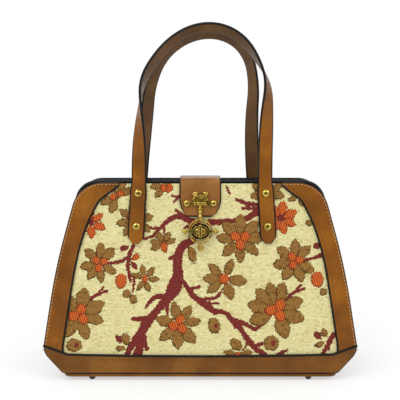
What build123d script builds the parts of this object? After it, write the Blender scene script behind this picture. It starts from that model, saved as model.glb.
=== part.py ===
from build123d import *
from math import cos, exp, hypot, pi, radians, sin, tan
import os

# Carpet bag: leaning tapestry panels with leather trims, a rolled mouth binding, two strap handles
# and a leather flap with a hinged brass hasp over a turn button.
# X runs right, the front faces -Y, Z is up; the origin is on the floor under the middle of the bag.
# A panel's own frame has u across, v up its slope from the sole and w out of its face.

# Body
PANEL_HEIGHT = 218.0
FLOOR_WIDTH = 312.0
HIP_WIDTH = 360.0
HIP_HEIGHT = 25.0
TOP_WIDTH = 280.0
TOP_CORNER_RADIUS = 36.0
HIP_RADIUS = 20.0
FLOOR_CORNER_RADIUS = 8.0
SIDE_BOW = 5.5
BOW_SHARE = 0.5
BOW_RADIUS = 700.0
BASE_DEPTH = 112.0
LEAN_DEG = 8.0
BOARD_THICKNESS = 2.0
BOARD_INSET = 1.0
TAPESTRY_THICKNESS = 1.2
TAPESTRY_INSET = 1.5
FIGURE_THICKNESS = 0.35
FIGURE_MARGIN = 0.3
FIGURE_SPACE = 0.25
SEAT_SPACE = 0.05
TOUCH_SPACE = 0.02
LAY_SPACE = 0.2

# Leather trims
TRIM_THICKNESS = 1.8
TRIM_WIDTH_LOW = 22.5
TRIM_WIDTH_HIGH = 22.5
TRIM_STRAIGHT_SHARE = 0.75
TRIM_CURVE_SHARES = ((0.868, 0.858), (0.819, 0.909), (0.731, 0.951), (0.646, 1.0))
TRIM_TIP_RUN_SHARE = 0.8
TRIM_TIP_RISE_SHARE = 0.6
BAND_THICKNESS = 2.4
SEAM_MID_HEIGHT = 19.5
SEAM_KNEE_HEIGHT = 21.5
SEAM_KNEE_SHARE = 0.84
SEAM_END_HEIGHT = 32.0
SEAM_SPACE = 0.3
MARGIN_WIDTH = 20.0

# Sole, feet and inside
FOOT_HEIGHT = 5.0
FOOT_RADIUS = 4.2
FOOT_TIP_RADIUS = 2.8
FOOT_RIM = 2.0
FOOT_SHANK_RADIUS = 1.5
FOOT_SPREAD = 248.0
FOOT_DEPTH_SPREAD = 102.0
SOLE_THICKNESS = 3.0
SOLE_REACH = 2.4
SOLE_CORNER_RADIUS = 10.0
BASE_BOARD_THICKNESS = 2.4
GUSSET_THICKNESS = 2.4
GUSSET_INSET = 2.6
GUSSET_DROP = 44.0
GUSSET_FOLD = 22.0
GUSSET_SLACK = 0.8
GUSSET_FOLD_START_SHARE = 0.35
LINING_THICKNESS = 0.8
LINING_GAP = 1.1
FACING_MARGIN = 22.0
FACING_TOP_DROP = 5.0
FACING_SPACE = 1.0

# Mouth binding
BINDING_RADIUS = 3.2
BINDING_INSET = 3.0
BINDING_CORNER_RADIUS = 22.0
BINDING_DROP = 42.0

# Handles
STRAP_THICKNESS = 3.0
STRAP_WIDTH = 17.0
TAB_WIDTH = 19.5
TAB_SHOULDER_DROP = 8.0
TAB_POINT_DROP = 58.0
TAB_TIP_DROP = 71.0
TAB_TIP_WIDTH = 6.5
TAB_SPLAY_DEG = 3.0
FRONT_HANDLE_SPAN = 145.0
BACK_HANDLE_SPAN = 139.0
FRONT_HANDLE_SHIFT = 2.0
BACK_HANDLE_SHIFT = 4.0
FRONT_HANDLE_SWAY = 8.0
BACK_HANDLE_SWAY = -15.0
LEG_HEIGHT = 95.0
FRONT_ARCH_RISE = 81.0
BACK_ARCH_RISE = 76.0
LEAN_EASE = 30.0
HANDLE_TILT_DEG = 33.0
TWIST_END_SHARES = (0.85, 1.0)
LEG_SECTION_SHARES = (0.0, 0.1, 0.25, 0.45, 0.65, 0.85)
ARCH_SECTIONS = 12
RIVET_UPPER_DROP = 13.0
RIVET_LOWER_DROP = 51.0
RIVET_HEAD_RADIUS = 5.0
RIVET_HEAD_HEIGHT = 3.2
RIVET_RIM = 0.8
RIVET_SHANK_RADIUS = 1.5
RIVET_HOLE_RADIUS = 1.55
BURR_RADIUS = 3.2
BURR_THICKNESS = 0.9

# Closure flap
FLAP_THICKNESS = 2.2
FLAP_WIDTH = 48.0
FLAP_TIP_WIDTH = 31.0
FLAP_DROP = 40.0
FLAP_TAPER_DROP = 23.0
FLAP_TAIL = 44.0
FLAP_LIFT = 3.9
FLAP_BEND_RADIUS = 7.0
FLAP_RIVET_SPREAD = 28.0
FLAP_RIVET_DROP = 32.0
FLAP_RIVET_RADIUS = 4.2
FLAP_RIVET_HEIGHT = 2.6

# Clasp
CLASP_DROP = 24.5
CLASP_RIVET_SPREAD = 30.6
CLASP_BAR_WIDTH = 9.0
CLASP_PLATE_THICKNESS = 1.0
CLASP_BLOCK_WIDTH = 18.0
CLASP_BLOCK_HEIGHT = 6.2
CLASP_BLOCK_RISE = 6.0
CLASP_BLOCK_DEPTH = 5.0
BARREL_RADIUS = 2.4
BARREL_LENGTH = 8.0
EAR_LENGTH = 3.2
PIN_RADIUS = 1.0
PIN_SPACE = 0.05
CROWN_SPREAD = 10.6
CROWN_SPLAY_DEG = 14.0
CROWN_RADIUS = 3.4
CROWN_HEIGHT = 7.4
CROWN_SHARES = ((0.8, 0.0), (0.57, 0.29), (0.73, 0.47), (1.0, 0.68), (1.0, 0.87), (0.6, 1.0))
HASP_THICKNESS = 1.8
HASP_REACH = 32.0
HASP_RING_RADIUS = 12.5
HASP_RING_WIRE = 1.7
HASP_STEM_RADIUS = 3.1
HASP_STEM_SHARES = ((0.5, 0.05), (0.55, 0.22), (1.0, 0.29), (1.0, 0.36), (0.62, 0.44), (0.85, 0.51),
                    (0.62, 0.58), (0.7, 0.70), (0.95, 0.81), (0.66, 0.90), (0.55, 0.97))
FINIAL_RADIUS = 3.1
FINIAL_LENGTH = 7.8
FINIAL_SHARES = ((0.46, 0.0), (0.46, 0.23), (0.88, 0.33), (1.0, 0.54), (0.73, 0.74), (0.35, 0.85),
                 (0.27, 1.0))
TIP_FINIAL_SHARE = 1.2
FINIAL_SINK = 0.6
JAW_LENGTH = 18.0
JAW_HEIGHT = 13.4
WINDOW_LENGTH = 13.5
WINDOW_HEIGHT = 9.5
JAW_SLOT = 6.0
BRIDGE_HEIGHT = 4.0
LOCK_PLATE_LENGTH = 23.0
LOCK_PLATE_HEIGHT = 15.0
LOCK_PLATE_THICKNESS = 1.2
BOSS_LENGTH = 12.5
BOSS_HEIGHT = 8.5
BOSS_PROUD = 0.5
BUTTON_LENGTH = 16.0
BUTTON_WIDTH = 5.0
BUTTON_THICKNESS = 3.0
BUTTON_LIFT = 0.5
BUTTON_EDGE = 0.9
SPINDLE_RADIUS = 1.6
WASHER_RADIUS = 3.0
WASHER_THICKNESS = 0.7
LOCK_RIVET_SPREAD = 17.6
LOCK_RIVET_RADIUS = 1.7
LOCK_RIVET_HEIGHT = 0.8
LOCK_SHANK_RADIUS = 0.9
LOCK_HOLE_RADIUS = 0.95

# Figure of the tapestry: blossoms as across share, up share, size share, turns of the petals,
# number of centre lobes, turn of the lobes
BROWN_BLOSSOM_SHARES = (
    (-0.535, 0.930, 0.094, (23, 62, 120, 210, 253), 2, 20),
    (-0.420, 0.800, 0.104, (10, 55, 100, 145, 192, 235, 280, 325), 3, 26),
    (-0.236, 0.675, 0.068, (20, 62, 118, 168, 205), 0, 0),
    (-0.642, 0.573, 0.110, (45, 86, 136, 192, 234, 275, 329), 3, 21),
    (-0.352, 0.492, 0.080, (50, 105, 161, 237, 288, 357), 1, 0),
    (-0.769, 0.304, 0.137, (26, 78, 130, 180, 238, 288, 345), 3, 72),
    (-0.139, 0.252, 0.126, (11, 56, 102, 165, 220, 268, 313), 3, 72),
    (0.255, 0.698, 0.132, (8, 45, 90, 135, 175, 223, 270, 320), 3, 30),
    (0.153, 0.492, 0.115, (67, 137, 180, 219, 290, 352), 1, 0),
    (0.602, 0.587, 0.112, (43, 88, 143, 193, 237, 289, 329), 3, 5),
    (0.486, 0.327, 0.146, (22, 76, 106, 134, 168, 204, 289, 341), 3, 60),
    (0.430, 0.945, 0.090, (30, 150, 193, 347), 0, 0),
    (0.640, 0.945, 0.080, (215, 277), 0, 0),
    (0.240, 0.095, 0.080, (12, 168), 1, 0),
    (-0.225, 0.985, 0.080, (188, 232), 0, 0),
)
ORANGE_BLOSSOM_SHARES = (
    (-0.700, 0.786, 0.080, (35, 92, 150, 215, 275, 338), 1, 0),
    (0.514, 0.809, 0.089, (25, 80, 130, 180, 230, 284, 336), 1, 0),
)
# Buds and leaves as across share, up share, half width share, half length share, turn
ORANGE_BUD_SHARES = (
    (-0.505, 0.480, 0.032, 0.041, 0),
    (0.745, 0.488, 0.034, 0.042, 0),
    (-0.412, 0.604, 0.017, 0.024, -53),
    (-0.229, 0.655, 0.019, 0.029, 10),
    (-0.235, 0.968, 0.016, 0.024, 20),
    (-0.197, 0.968, 0.018, 0.026, -25),
)
BROWN_BUD_SHARES = (
    (-0.051, 0.618, 0.023, 0.046, 8),
    (0.088, 0.248, 0.032, 0.044, 10),
    (0.227, 0.148, 0.028, 0.038, 45),
    (0.449, 0.156, 0.041, 0.040, 0),
    (-0.800, 0.145, 0.042, 0.035, 0),
    (-0.468, 0.412, 0.023, 0.025, 0),
    (-0.426, 0.385, 0.021, 0.026, 0),
    (-0.472, 0.178, 0.022, 0.031, 10),
    (-0.505, 0.129, 0.015, 0.027, 90),
    (0.782, 0.424, 0.020, 0.022, 0),
    (0.787, 0.209, 0.017, 0.024, 20),
    (0.755, 0.148, 0.015, 0.027, -70),
    (0.700, 0.786, 0.018, 0.026, 90),
)
BURGUNDY_LEAF_SHARES = (
    (-0.514, 0.179, 0.017, 0.027, 45),
    (0.745, 0.196, 0.019, 0.025, 45),
    (-0.486, 0.652, 0.016, 0.024, -73),
    (-0.420, 0.561, 0.012, 0.026, 40),
    (0.741, 0.664, 0.018, 0.020, -60),
)
# Branches as a run of across share, up share, width share
BRANCH_SHARES = (
    ((-0.046, 0.694, 0.038), (-0.111, 0.664, 0.046), (-0.139, 0.618, 0.048), (-0.146, 0.560, 0.050),
     (-0.142, 0.510, 0.056), (-0.165, 0.447, 0.076), (-0.213, 0.382, 0.050), (-0.278, 0.324, 0.040),
     (-0.333, 0.263, 0.046), (-0.384, 0.202, 0.046), (-0.435, 0.141, 0.036), (-0.463, 0.102, 0.028)),
    ((-0.150, 0.612, 0.030), (-0.197, 0.597, 0.018)),
    ((-0.122, 0.490, 0.030), (-0.088, 0.452, 0.026), (-0.048, 0.405, 0.030), (0.000, 0.376, 0.038),
     (0.045, 0.352, 0.040), (0.083, 0.324, 0.034), (0.157, 0.313, 0.026), (0.208, 0.271, 0.034),
     (0.259, 0.225, 0.028), (0.306, 0.171, 0.032), (0.352, 0.129, 0.032), (0.410, 0.100, 0.026)),
    ((0.000, 0.383, 0.024), (0.083, 0.390, 0.018), (0.122, 0.410, 0.016), (0.142, 0.440, 0.012)),
    ((-0.055, 0.440, 0.020), (-0.005, 0.450, 0.016)),
    ((0.222, 0.274, 0.026), (0.287, 0.255, 0.024), (0.347, 0.230, 0.022), (0.392, 0.252, 0.014)),
    ((0.212, 0.268, 0.018), (0.220, 0.232, 0.010)),
    ((0.340, 0.142, 0.022), (0.398, 0.153, 0.018)),
    ((0.490, 0.098, 0.018), (0.546, 0.118, 0.018)),
    ((0.046, 0.362, 0.014), (0.120, 0.362, 0.010)),
    ((0.287, 0.185, 0.012), (0.290, 0.145, 0.010), (0.255, 0.108, 0.010)),
    ((-0.200, 0.400, 0.034), (-0.278, 0.397, 0.026), (-0.319, 0.374, 0.022), (-0.345, 0.343, 0.014)),
    ((-0.340, 0.285, 0.030), (-0.390, 0.283, 0.024), (-0.430, 0.281, 0.018)),
    ((-0.355, 0.275, 0.022), (-0.378, 0.250, 0.014)),
    ((-0.212, 0.350, 0.026), (-0.208, 0.301, 0.012)),
    ((-0.361, 0.190, 0.036), (-0.384, 0.135, 0.044), (-0.394, 0.100, 0.050)),
    ((-0.356, 0.185, 0.026), (-0.340, 0.128, 0.024)),
    ((-0.020, 0.785, 0.040), (-0.075, 0.800, 0.034), (-0.130, 0.820, 0.034), (-0.185, 0.809, 0.028),
     (-0.231, 0.778, 0.024), (-0.262, 0.757, 0.020), (-0.325, 0.757, 0.016)),
    ((-0.105, 0.822, 0.024), (-0.155, 0.852, 0.014)),
    ((-0.232, 0.780, 0.018), (-0.231, 0.735, 0.014)),
    ((-0.258, 0.755, 0.020), (-0.310, 0.714, 0.018), (-0.360, 0.703, 0.014)),
    ((-0.060, 0.765, 0.026), (-0.100, 0.762, 0.014)),
    ((-0.110, 0.955, 0.016), (-0.135, 0.925, 0.018), (-0.182, 0.930, 0.012)),
    ((-0.130, 0.925, 0.016), (-0.172, 0.895, 0.012)),
    ((0.060, 0.790, 0.036), (0.110, 0.790, 0.034), (0.222, 0.797, 0.028), (0.296, 0.809, 0.034),
     (0.370, 0.840, 0.040), (0.514, 0.812, 0.040)),
    ((0.380, 0.880, 0.024), (0.305, 0.886, 0.026), (0.231, 0.908, 0.016)),
    ((0.380, 0.862, 0.020), (0.269, 0.862, 0.016)),
    ((0.165, 0.978, 0.012), (0.190, 0.940, 0.016)),
    ((-0.425, 0.665, 0.022), (-0.450, 0.620, 0.024), (-0.460, 0.570, 0.022), (-0.455, 0.530, 0.020),
     (-0.445, 0.480, 0.018)),
    ((-0.450, 0.612, 0.022), (-0.500, 0.585, 0.020), (-0.585, 0.572, 0.018)),
    ((-0.455, 0.520, 0.018), (-0.420, 0.490, 0.016), (-0.430, 0.420, 0.012)),
    ((-0.704, 0.382, 0.020), (-0.648, 0.412, 0.018), (-0.593, 0.428, 0.014)),
    ((-0.655, 0.410, 0.014), (-0.616, 0.447, 0.012)),
    ((0.546, 0.385, 0.020), (0.593, 0.420, 0.018), (0.662, 0.440, 0.014)),
    ((0.600, 0.425, 0.014), (0.639, 0.458, 0.012)),
    ((0.657, 0.587, 0.022), (0.713, 0.599, 0.020), (0.775, 0.616, 0.022)),
    ((0.845, 0.200, 0.028), (0.815, 0.156, 0.026), (0.778, 0.104, 0.022)),
    ((0.815, 0.158, 0.016), (0.815, 0.120, 0.010)),
)
# A petal as length share, half width share of the blossom's size
PETAL_SHARES = ((0.36, 0.10), (0.58, 0.20), (0.86, 0.16), (1.0, 0.0))
LOBE_PLACE_SHARE = 0.20
LOBE_SIZE_SHARE = 0.16
LONE_LOBE_SHARE = 0.22
LOBE_SIDES = 6
BUD_SHARES = ((-1.0, 0.45), (-0.3, 1.0), (0.45, 0.75), (1.0, 0.0))

# Derived sizes
LEAN = radians(LEAN_DEG)
HALF_DEPTH = BASE_DEPTH / 2
HALF_HIP = HIP_WIDTH / 2
HALF_BOW = (HIP_WIDTH + TOP_WIDTH) / 4 + SIDE_BOW
BOW_HEIGHT = HIP_HEIGHT + (PANEL_HEIGHT - HIP_HEIGHT) * BOW_SHARE
PANEL_Z = FOOT_HEIGHT + SOLE_THICKNESS + LAY_SPACE
FIGURE_W = TAPESTRY_THICKNESS
SEAT_W = TAPESTRY_THICKNESS + FIGURE_THICKNESS + SEAT_SPACE
STRAP_W = SEAT_W + STRAP_THICKNESS
FLAP_W = SEAT_W + FLAP_THICKNESS
CLASP_W = FLAP_W + CLASP_PLATE_THICKNESS
HINGE_W = CLASP_W + BARREL_RADIUS + 2 * PIN_SPACE
HINGE_V = PANEL_HEIGHT - CLASP_DROP
RING_V = HINGE_V - HASP_REACH
HASP_BACK_W = HINGE_W - HASP_THICKNESS / 2
HASP_FRONT_W = HINGE_W + HASP_THICKNESS / 2
BOSS_W = HASP_FRONT_W + BOSS_PROUD
BUTTON_W = BOSS_W + BUTTON_LIFT
FRONT = Plane(origin=(0, -HALF_DEPTH, PANEL_Z), x_dir=(1, 0, 0), z_dir=(0, -cos(LEAN), sin(LEAN)))
BACK = Plane(origin=(0, HALF_DEPTH, PANEL_Z), x_dir=(-1, 0, 0), z_dir=(0, cos(LEAN), sin(LEAN)))

os.makedirs("parts", exist_ok=True)


def side_u(v):
    """Half width of the panel at the height v up its slope."""
    if v < HIP_HEIGHT:
        return FLOOR_WIDTH / 2 + (HIP_WIDTH - FLOOR_WIDTH) / 2 * v / HIP_HEIGHT
    if v < BOW_HEIGHT:
        return HALF_HIP + (HALF_BOW - HALF_HIP) * (v - HIP_HEIGHT) / (BOW_HEIGHT - HIP_HEIGHT)
    share = (v - BOW_HEIGHT) / (PANEL_HEIGHT - BOW_HEIGHT)
    return HALF_BOW + (TOP_WIDTH / 2 - HALF_BOW) * share


def wall_y(z, w):
    """Distance from the middle plane to a panel's face offset by w, at the height z."""
    return HALF_DEPTH - (z - PANEL_Z) * tan(LEAN) + w / cos(LEAN)


def panel_point(u, v, w):
    """Point in the front panel's own frame as a point of the bag."""
    return FRONT.from_local_coords((u, v, w))


def panel_face(inset):
    """Outline of a panel, drawn in by the inset."""
    right = [(FLOOR_WIDTH / 2, 0), (HALF_HIP, HIP_HEIGHT), (HALF_BOW, BOW_HEIGHT),
             (TOP_WIDTH / 2, PANEL_HEIGHT)]
    points = right + [(-u, v) for u, v in reversed(right)]
    right_radii = [FLOOR_CORNER_RADIUS, HIP_RADIUS, BOW_RADIUS, TOP_CORNER_RADIUS]
    radii = right_radii + right_radii[::-1]
    with BuildSketch() as outline:
        with BuildLine():
            FilletPolyline(*points, radius=radii, close=True)
        make_face()
        if inset > 0:
            offset(amount=-inset)
    return outline.sketch


def trim_region(side, grow):
    """Ground of one side trim, from its inner edge out past the panel's edge."""
    straight_v = PANEL_HEIGHT * TRIM_STRAIGHT_SHARE
    low_u = side_u(SEAM_END_HEIGHT) - TRIM_WIDTH_LOW - grow
    bow_u = HALF_BOW - (TRIM_WIDTH_LOW + TRIM_WIDTH_HIGH) / 2 - grow
    high_u = side_u(straight_v) - TRIM_WIDTH_HIGH - grow
    outer_u = HALF_HIP + MARGIN_WIDTH
    curve = [(low_u, SEAM_END_HEIGHT), (bow_u, BOW_HEIGHT), (high_u, straight_v)]
    for across, up in TRIM_CURVE_SHARES:
        curve.append((TOP_WIDTH / 2 * across - grow, PANEL_HEIGHT * up))
    curve = [(side * u, v) for u, v in curve]
    start_run = (side * (HALF_BOW - HALF_HIP), BOW_HEIGHT - HIP_HEIGHT)
    tip_run = (-side * TRIM_TIP_RUN_SHARE, TRIM_TIP_RISE_SHARE)
    with BuildSketch() as region:
        with BuildLine():
            Line((side * low_u, 0), curve[0])
            Spline(*curve, tangents=(start_run, tip_run))
            Polyline(curve[-1], (curve[-1][0], PANEL_HEIGHT + MARGIN_WIDTH),
                     (side * outer_u, PANEL_HEIGHT + MARGIN_WIDTH), (side * outer_u, 0),
                     (side * low_u, 0))
        make_face()
    return region.sketch


def band_region(rise):
    """Ground below the base band's seam, with the seam raised by the rise."""
    outer_u = HALF_HIP + MARGIN_WIDTH
    knee_u = HALF_HIP * SEAM_KNEE_SHARE
    knee_v = SEAM_KNEE_HEIGHT + rise
    end_v = SEAM_END_HEIGHT + rise
    with BuildSketch() as region:
        with BuildLine():
            ThreePointArc((-knee_u, knee_v), (0, SEAM_MID_HEIGHT + rise), (knee_u, knee_v))
            Polyline((knee_u, knee_v), (HALF_HIP, end_v), (outer_u, end_v), (outer_u, -MARGIN_WIDTH),
                     (-outer_u, -MARGIN_WIDTH), (-outer_u, end_v), (-HALF_HIP, end_v), (-knee_u, knee_v))
        make_face()
    return region.sketch


def petal_points(place, size, angle):
    """Corners of one pointed petal of a blossom."""
    right = [(along, half) for along, half in PETAL_SHARES]
    left = [(along, -half) for along, half in reversed(PETAL_SHARES[:-1])]
    corners = []
    for along, half in right + left:
        u = place[0] + size * (along * cos(angle) - half * sin(angle))
        v = place[1] + size * (along * sin(angle) + half * cos(angle))
        corners.append((u, v))
    return corners


def bud_points(bud):
    """Corners of one bud or leaf."""
    half_width = bud[2] * PANEL_HEIGHT
    half_length = bud[3] * PANEL_HEIGHT
    angle = radians(bud[4])
    right = [(half * half_width, along * half_length) for along, half in BUD_SHARES]
    left = [(-half * half_width, along * half_length) for along, half in reversed(BUD_SHARES[:-1])]
    corners = []
    for x, y in right + left:
        u = bud[0] * HALF_HIP + x * cos(angle) - y * sin(angle)
        v = bud[1] * PANEL_HEIGHT + x * sin(angle) + y * cos(angle)
        corners.append((u, v))
    return corners


def branch_points(branch):
    """Corners of one branch, drawn to its changing width along its run."""
    spots = [(u * HALF_HIP, v * PANEL_HEIGHT, width * PANEL_HEIGHT / 2) for u, v, width in branch]
    left = []
    right = []
    for index, (u, v, half) in enumerate(spots):
        before = spots[max(index - 1, 0)]
        after = spots[min(index + 1, len(spots) - 1)]
        run_u = after[0] - before[0]
        run_v = after[1] - before[1]
        run = hypot(run_u, run_v)
        left.append((u - half * run_v / run, v + half * run_u / run))
        right.append((u + half * run_v / run, v - half * run_u / run))
    return left + right[::-1]


def closed_face(corners):
    """Flat face with the given corners."""
    with BuildSketch() as shape:
        with BuildLine():
            Polyline(*corners, close=True)
        make_face()
    return shape.sketch.faces()[0]


def grown(face):
    """The face drawn out all round by the space between two colours."""
    with BuildSketch() as shape:
        add(face)
        offset(amount=FIGURE_SPACE, kind=Kind.INTERSECTION)
    return shape.sketch.faces()[0]


def blossom_petals(blossom):
    """Petal faces of one blossom."""
    place = (blossom[0] * HALF_HIP, blossom[1] * PANEL_HEIGHT)
    size = blossom[2] * PANEL_HEIGHT
    return [closed_face(petal_points(place, size, radians(turn))) for turn in blossom[3]]


def blossom_lobes(blossom):
    """Centre lobes of one blossom."""
    size = blossom[2] * PANEL_HEIGHT
    lobes = blossom[4]
    reach = 0 if lobes == 1 else LOBE_PLACE_SHARE * size
    radius = LONE_LOBE_SHARE * size if lobes == 1 else LOBE_SIZE_SHARE * size
    faces = []
    for index in range(lobes):
        turn = radians(blossom[5]) + 2 * pi * index / lobes
        u = blossom[0] * HALF_HIP + reach * cos(turn)
        v = blossom[1] * PANEL_HEIGHT + reach * sin(turn)
        steps = [2 * pi * step / LOBE_SIDES for step in range(LOBE_SIDES)]
        faces.append(closed_face([(u + radius * cos(step), v + radius * sin(step)) for step in steps]))
    return faces


def make_plate(plane, face, low, high, holes):
    """Flat piece of a panel between two heights, with round holes given as u, v and radius."""
    with BuildPart() as piece:
        with BuildSketch(plane.offset(low)):
            add(face)
            for u, v, radius in holes:
                with Locations((u, v)):
                    Circle(radius, mode=Mode.SUBTRACT)
        extrude(amount=high - low)
    return piece


def make_figure(plane, faces, window, cuts, holes):
    """Raised figure of one colour, kept inside the window and clear of the cuts and holes."""
    with BuildSketch() as drawing:
        add(faces)
        add(window, mode=Mode.INTERSECT)
        if cuts is not None:
            add(cuts, mode=Mode.SUBTRACT)
        for u, v, radius in holes:
            with Locations((u, v)):
                Circle(radius + FIGURE_SPACE, mode=Mode.SUBTRACT)
    with BuildPart() as piece:
        with BuildSketch(plane.offset(FIGURE_W)):
            add(drawing.sketch)
        extrude(amount=FIGURE_THICKNESS)
    return piece


def make_binding(plane):
    """Rolled binding behind a board's top edge, down past both corners."""
    end_v = PANEL_HEIGHT - BINDING_DROP
    end_u = side_u(end_v) - BINDING_INSET
    top_u = TOP_WIDTH / 2 - BINDING_INSET
    depth = BOARD_THICKNESS + LAY_SPACE + BINDING_RADIUS
    with BuildPart() as piece:
        with BuildLine(plane.offset(-depth)) as route:
            FilletPolyline((-end_u, end_v), (-top_u, PANEL_HEIGHT), (top_u, PANEL_HEIGHT),
                           (end_u, end_v), radius=BINDING_CORNER_RADIUS)
        with BuildSketch(Plane(origin=route.line @ 0, z_dir=route.line % 0)):
            Circle(BINDING_RADIUS)
        sweep()
    return piece


def gusset_levels():
    """Heights of the gusset's bends, each with its half width outside and its inward fold."""
    top_v = PANEL_HEIGHT - GUSSET_DROP
    bend_v = PANEL_HEIGHT * GUSSET_FOLD_START_SHARE
    levels = []
    folds = ((0, GUSSET_SLACK), (HIP_HEIGHT, GUSSET_SLACK), (bend_v, GUSSET_SLACK), (top_v, GUSSET_FOLD))
    for v, fold in folds:
        levels.append((PANEL_Z + v * cos(LEAN), side_u(v) - GUSSET_INSET, fold))
    return levels


def make_gusset(side):
    """Folded end wall between the boards."""
    with BuildPart() as piece:
        for z, reach, fold in gusset_levels():
            half = wall_y(z, -BOARD_THICKNESS) - LAY_SPACE
            inner = reach - GUSSET_THICKNESS
            with BuildSketch(Plane.XY.offset(z)):
                with BuildLine():
                    Polyline((side * reach, -half), (side * (reach - fold), 0), (side * reach, half),
                             (side * inner, half), (side * (inner - fold), 0), (side * inner, -half),
                             close=True)
                make_face()
        loft(ruled=True)
    return piece


def lining_levels(shrink, floor_z):
    """Heights of the lining's bends, drawn in from the boards and gussets by the shrink."""
    levels = []
    for index, (z, reach, fold) in enumerate(gusset_levels()):
        level = floor_z if index == 0 else z
        half = wall_y(level, -BOARD_THICKNESS) - LINING_GAP - shrink
        ends = reach - GUSSET_THICKNESS - LINING_GAP - shrink
        levels.append((level, half, ends, fold))
    return levels


def make_rivets(plane, places, head_w, head_radius, head_height, shank_radius, tail_w, burr_radius):
    """Dome rivets through a panel, each one head, shank and burr."""
    with BuildPart() as piece:
        for u, v in places:
            foot = plane.from_local_coords((u, v, 0))
            across = Plane(origin=foot, x_dir=plane.x_dir, z_dir=plane.x_dir.cross(plane.z_dir))
            under = head_w + TOUCH_SPACE
            rim = under + RIVET_RIM * head_height / RIVET_HEAD_HEIGHT
            crown = under + head_height
            tail = tail_w - TOUCH_SPACE
            end = tail - BURR_THICKNESS
            knee = head_radius * cos(pi / 4)
            knee_w = rim + (crown - rim) * sin(pi / 4)
            corners = [(head_radius, rim), (head_radius, under), (shank_radius, under)]
            if burr_radius > shank_radius:
                corners += [(shank_radius, tail), (burr_radius, tail)]
            corners += [(burr_radius, end), (0, end), (0, crown)]
            with BuildSketch(across):
                with BuildLine():
                    ThreePointArc((0, crown), (knee, knee_w), (head_radius, rim))
                    Polyline(*corners)
                make_face()
            revolve(axis=Axis(foot, plane.z_dir))
    return piece


def handle_places(span, shift):
    """Upper and lower rivet places of both tabs of a handle."""
    places = []
    for side in (-1, 1):
        for drop in (RIVET_UPPER_DROP, RIVET_LOWER_DROP):
            u = shift + side * (span / 2 + drop * tan(radians(TAB_SPLAY_DEG)))
            places.append((u, PANEL_HEIGHT - drop))
    return places


def tab_face(side, span, shift):
    """Outline of one riveted tab, from the panel's top edge down to its spear point."""
    slope = tan(radians(TAB_SPLAY_DEG))
    steps = ((0, STRAP_WIDTH / 2), (TAB_SHOULDER_DROP, TAB_WIDTH / 2), (TAB_POINT_DROP, TAB_WIDTH / 2),
             (TAB_TIP_DROP, TAB_TIP_WIDTH / 2))
    right = []
    left = []
    for drop, half in steps:
        middle = shift + side * (span / 2 + drop * slope)
        right.append((middle + half, PANEL_HEIGHT - drop))
        left.append((middle - half, PANEL_HEIGHT - drop))
    return closed_face(right + left[::-1])


def handle_sections(span, shift, rise, sway, turn):
    """Planes across a handle from its left tab over the arch to its right tab."""
    start = panel_point(0, PANEL_HEIGHT, SEAT_W + STRAP_THICKNESS / 2)
    spots = []
    for share in LEG_SECTION_SHARES:
        spots.append((-span / 2, LEG_HEIGHT * share))
    for index in range(ARCH_SECTIONS + 1):
        sweep_angle = pi - pi * index / ARCH_SECTIONS
        spots.append((span / 2 * cos(sweep_angle), LEG_HEIGHT + rise * sin(sweep_angle)))
    for share in reversed(LEG_SECTION_SHARES):
        spots.append((span / 2, LEG_HEIGHT * share))
    points = []
    for x, height in spots:
        lean_run = tan(LEAN) * LEAN_EASE * (1 - exp(-height / LEAN_EASE))
        sway_run = sway * (height / (LEG_HEIGHT + rise)) ** 2
        points.append(Vector(x + sway_run, start.Y + lean_run, start.Z + height))
    up_slope = Vector(0, sin(LEAN), cos(LEAN))
    planes = []
    for index, point in enumerate(points):
        before = points[max(index - 1, 0)]
        after = points[min(index + 1, len(points) - 1)]
        along = (after - before).normalized()
        if index == 0:
            along = up_slope
        if index == len(points) - 1:
            along = up_slope * -1
        out = Vector(0, -1, 0)
        out = (out - along * out.dot(along)).normalized()
        rim = out.cross(along).normalized()
        end_share = TWIST_END_SHARES[0] if spots[index][0] < 0 else TWIST_END_SHARES[1]
        share = min(spots[index][1] / ((LEG_HEIGHT + rise) * end_share), 1)
        ease = share * share * (3 - 2 * share)
        twist = -pi / 2 + (pi / 2 + radians(HANDLE_TILT_DEG)) * ease
        wide = out * cos(twist) + rim * sin(twist)
        place = Vector(point.X + shift, point.Y, point.Z)
        if turn:
            place = Vector(-place.X, -place.Y, place.Z)
            wide = Vector(-wide.X, -wide.Y, wide.Z)
            along = Vector(-along.X, -along.Y, along.Z)
        planes.append(Plane(origin=place, x_dir=wide, z_dir=along))
    return planes


def make_handle(plane, span, shift, rise, sway, turn):
    """Strap handle with its two riveted tabs, as one strip of leather."""
    holes = handle_places(span, shift)
    with BuildPart() as piece:
        for section_plane in handle_sections(span, shift, rise, sway, turn):
            with BuildSketch(section_plane):
                Rectangle(STRAP_WIDTH, STRAP_THICKNESS)
        loft()
        for side in (-1, 1):
            with BuildSketch(plane.offset(SEAT_W)):
                add(tab_face(side, span, shift))
            extrude(amount=STRAP_THICKNESS)
        for u, v in holes:
            with BuildSketch(plane.offset(SEAT_W)):
                with Locations((u, v)):
                    Circle(RIVET_HOLE_RADIUS)
            extrude(amount=STRAP_THICKNESS, mode=Mode.SUBTRACT)
    return piece


def turned_plane(origin, axis_dir, side_dir):
    """Plane through a turned piece's axis, with its radius across and its axis up."""
    return Plane(origin=origin, x_dir=side_dir, z_dir=side_dir.cross(axis_dir))


def turned_corners(shares, radius, length):
    """Half profile of a turned piece, from its shares of a radius and a length."""
    corners = [(radius * out, length * along) for out, along in shares]
    return [(0, corners[0][1])] + corners + [(0, corners[-1][1])]


# Shared faces of the panels
PANEL_FACE = panel_face(0)
BOARD_FACE = panel_face(BOARD_INSET)
TAPESTRY_FACE = panel_face(TAPESTRY_INSET)

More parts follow.
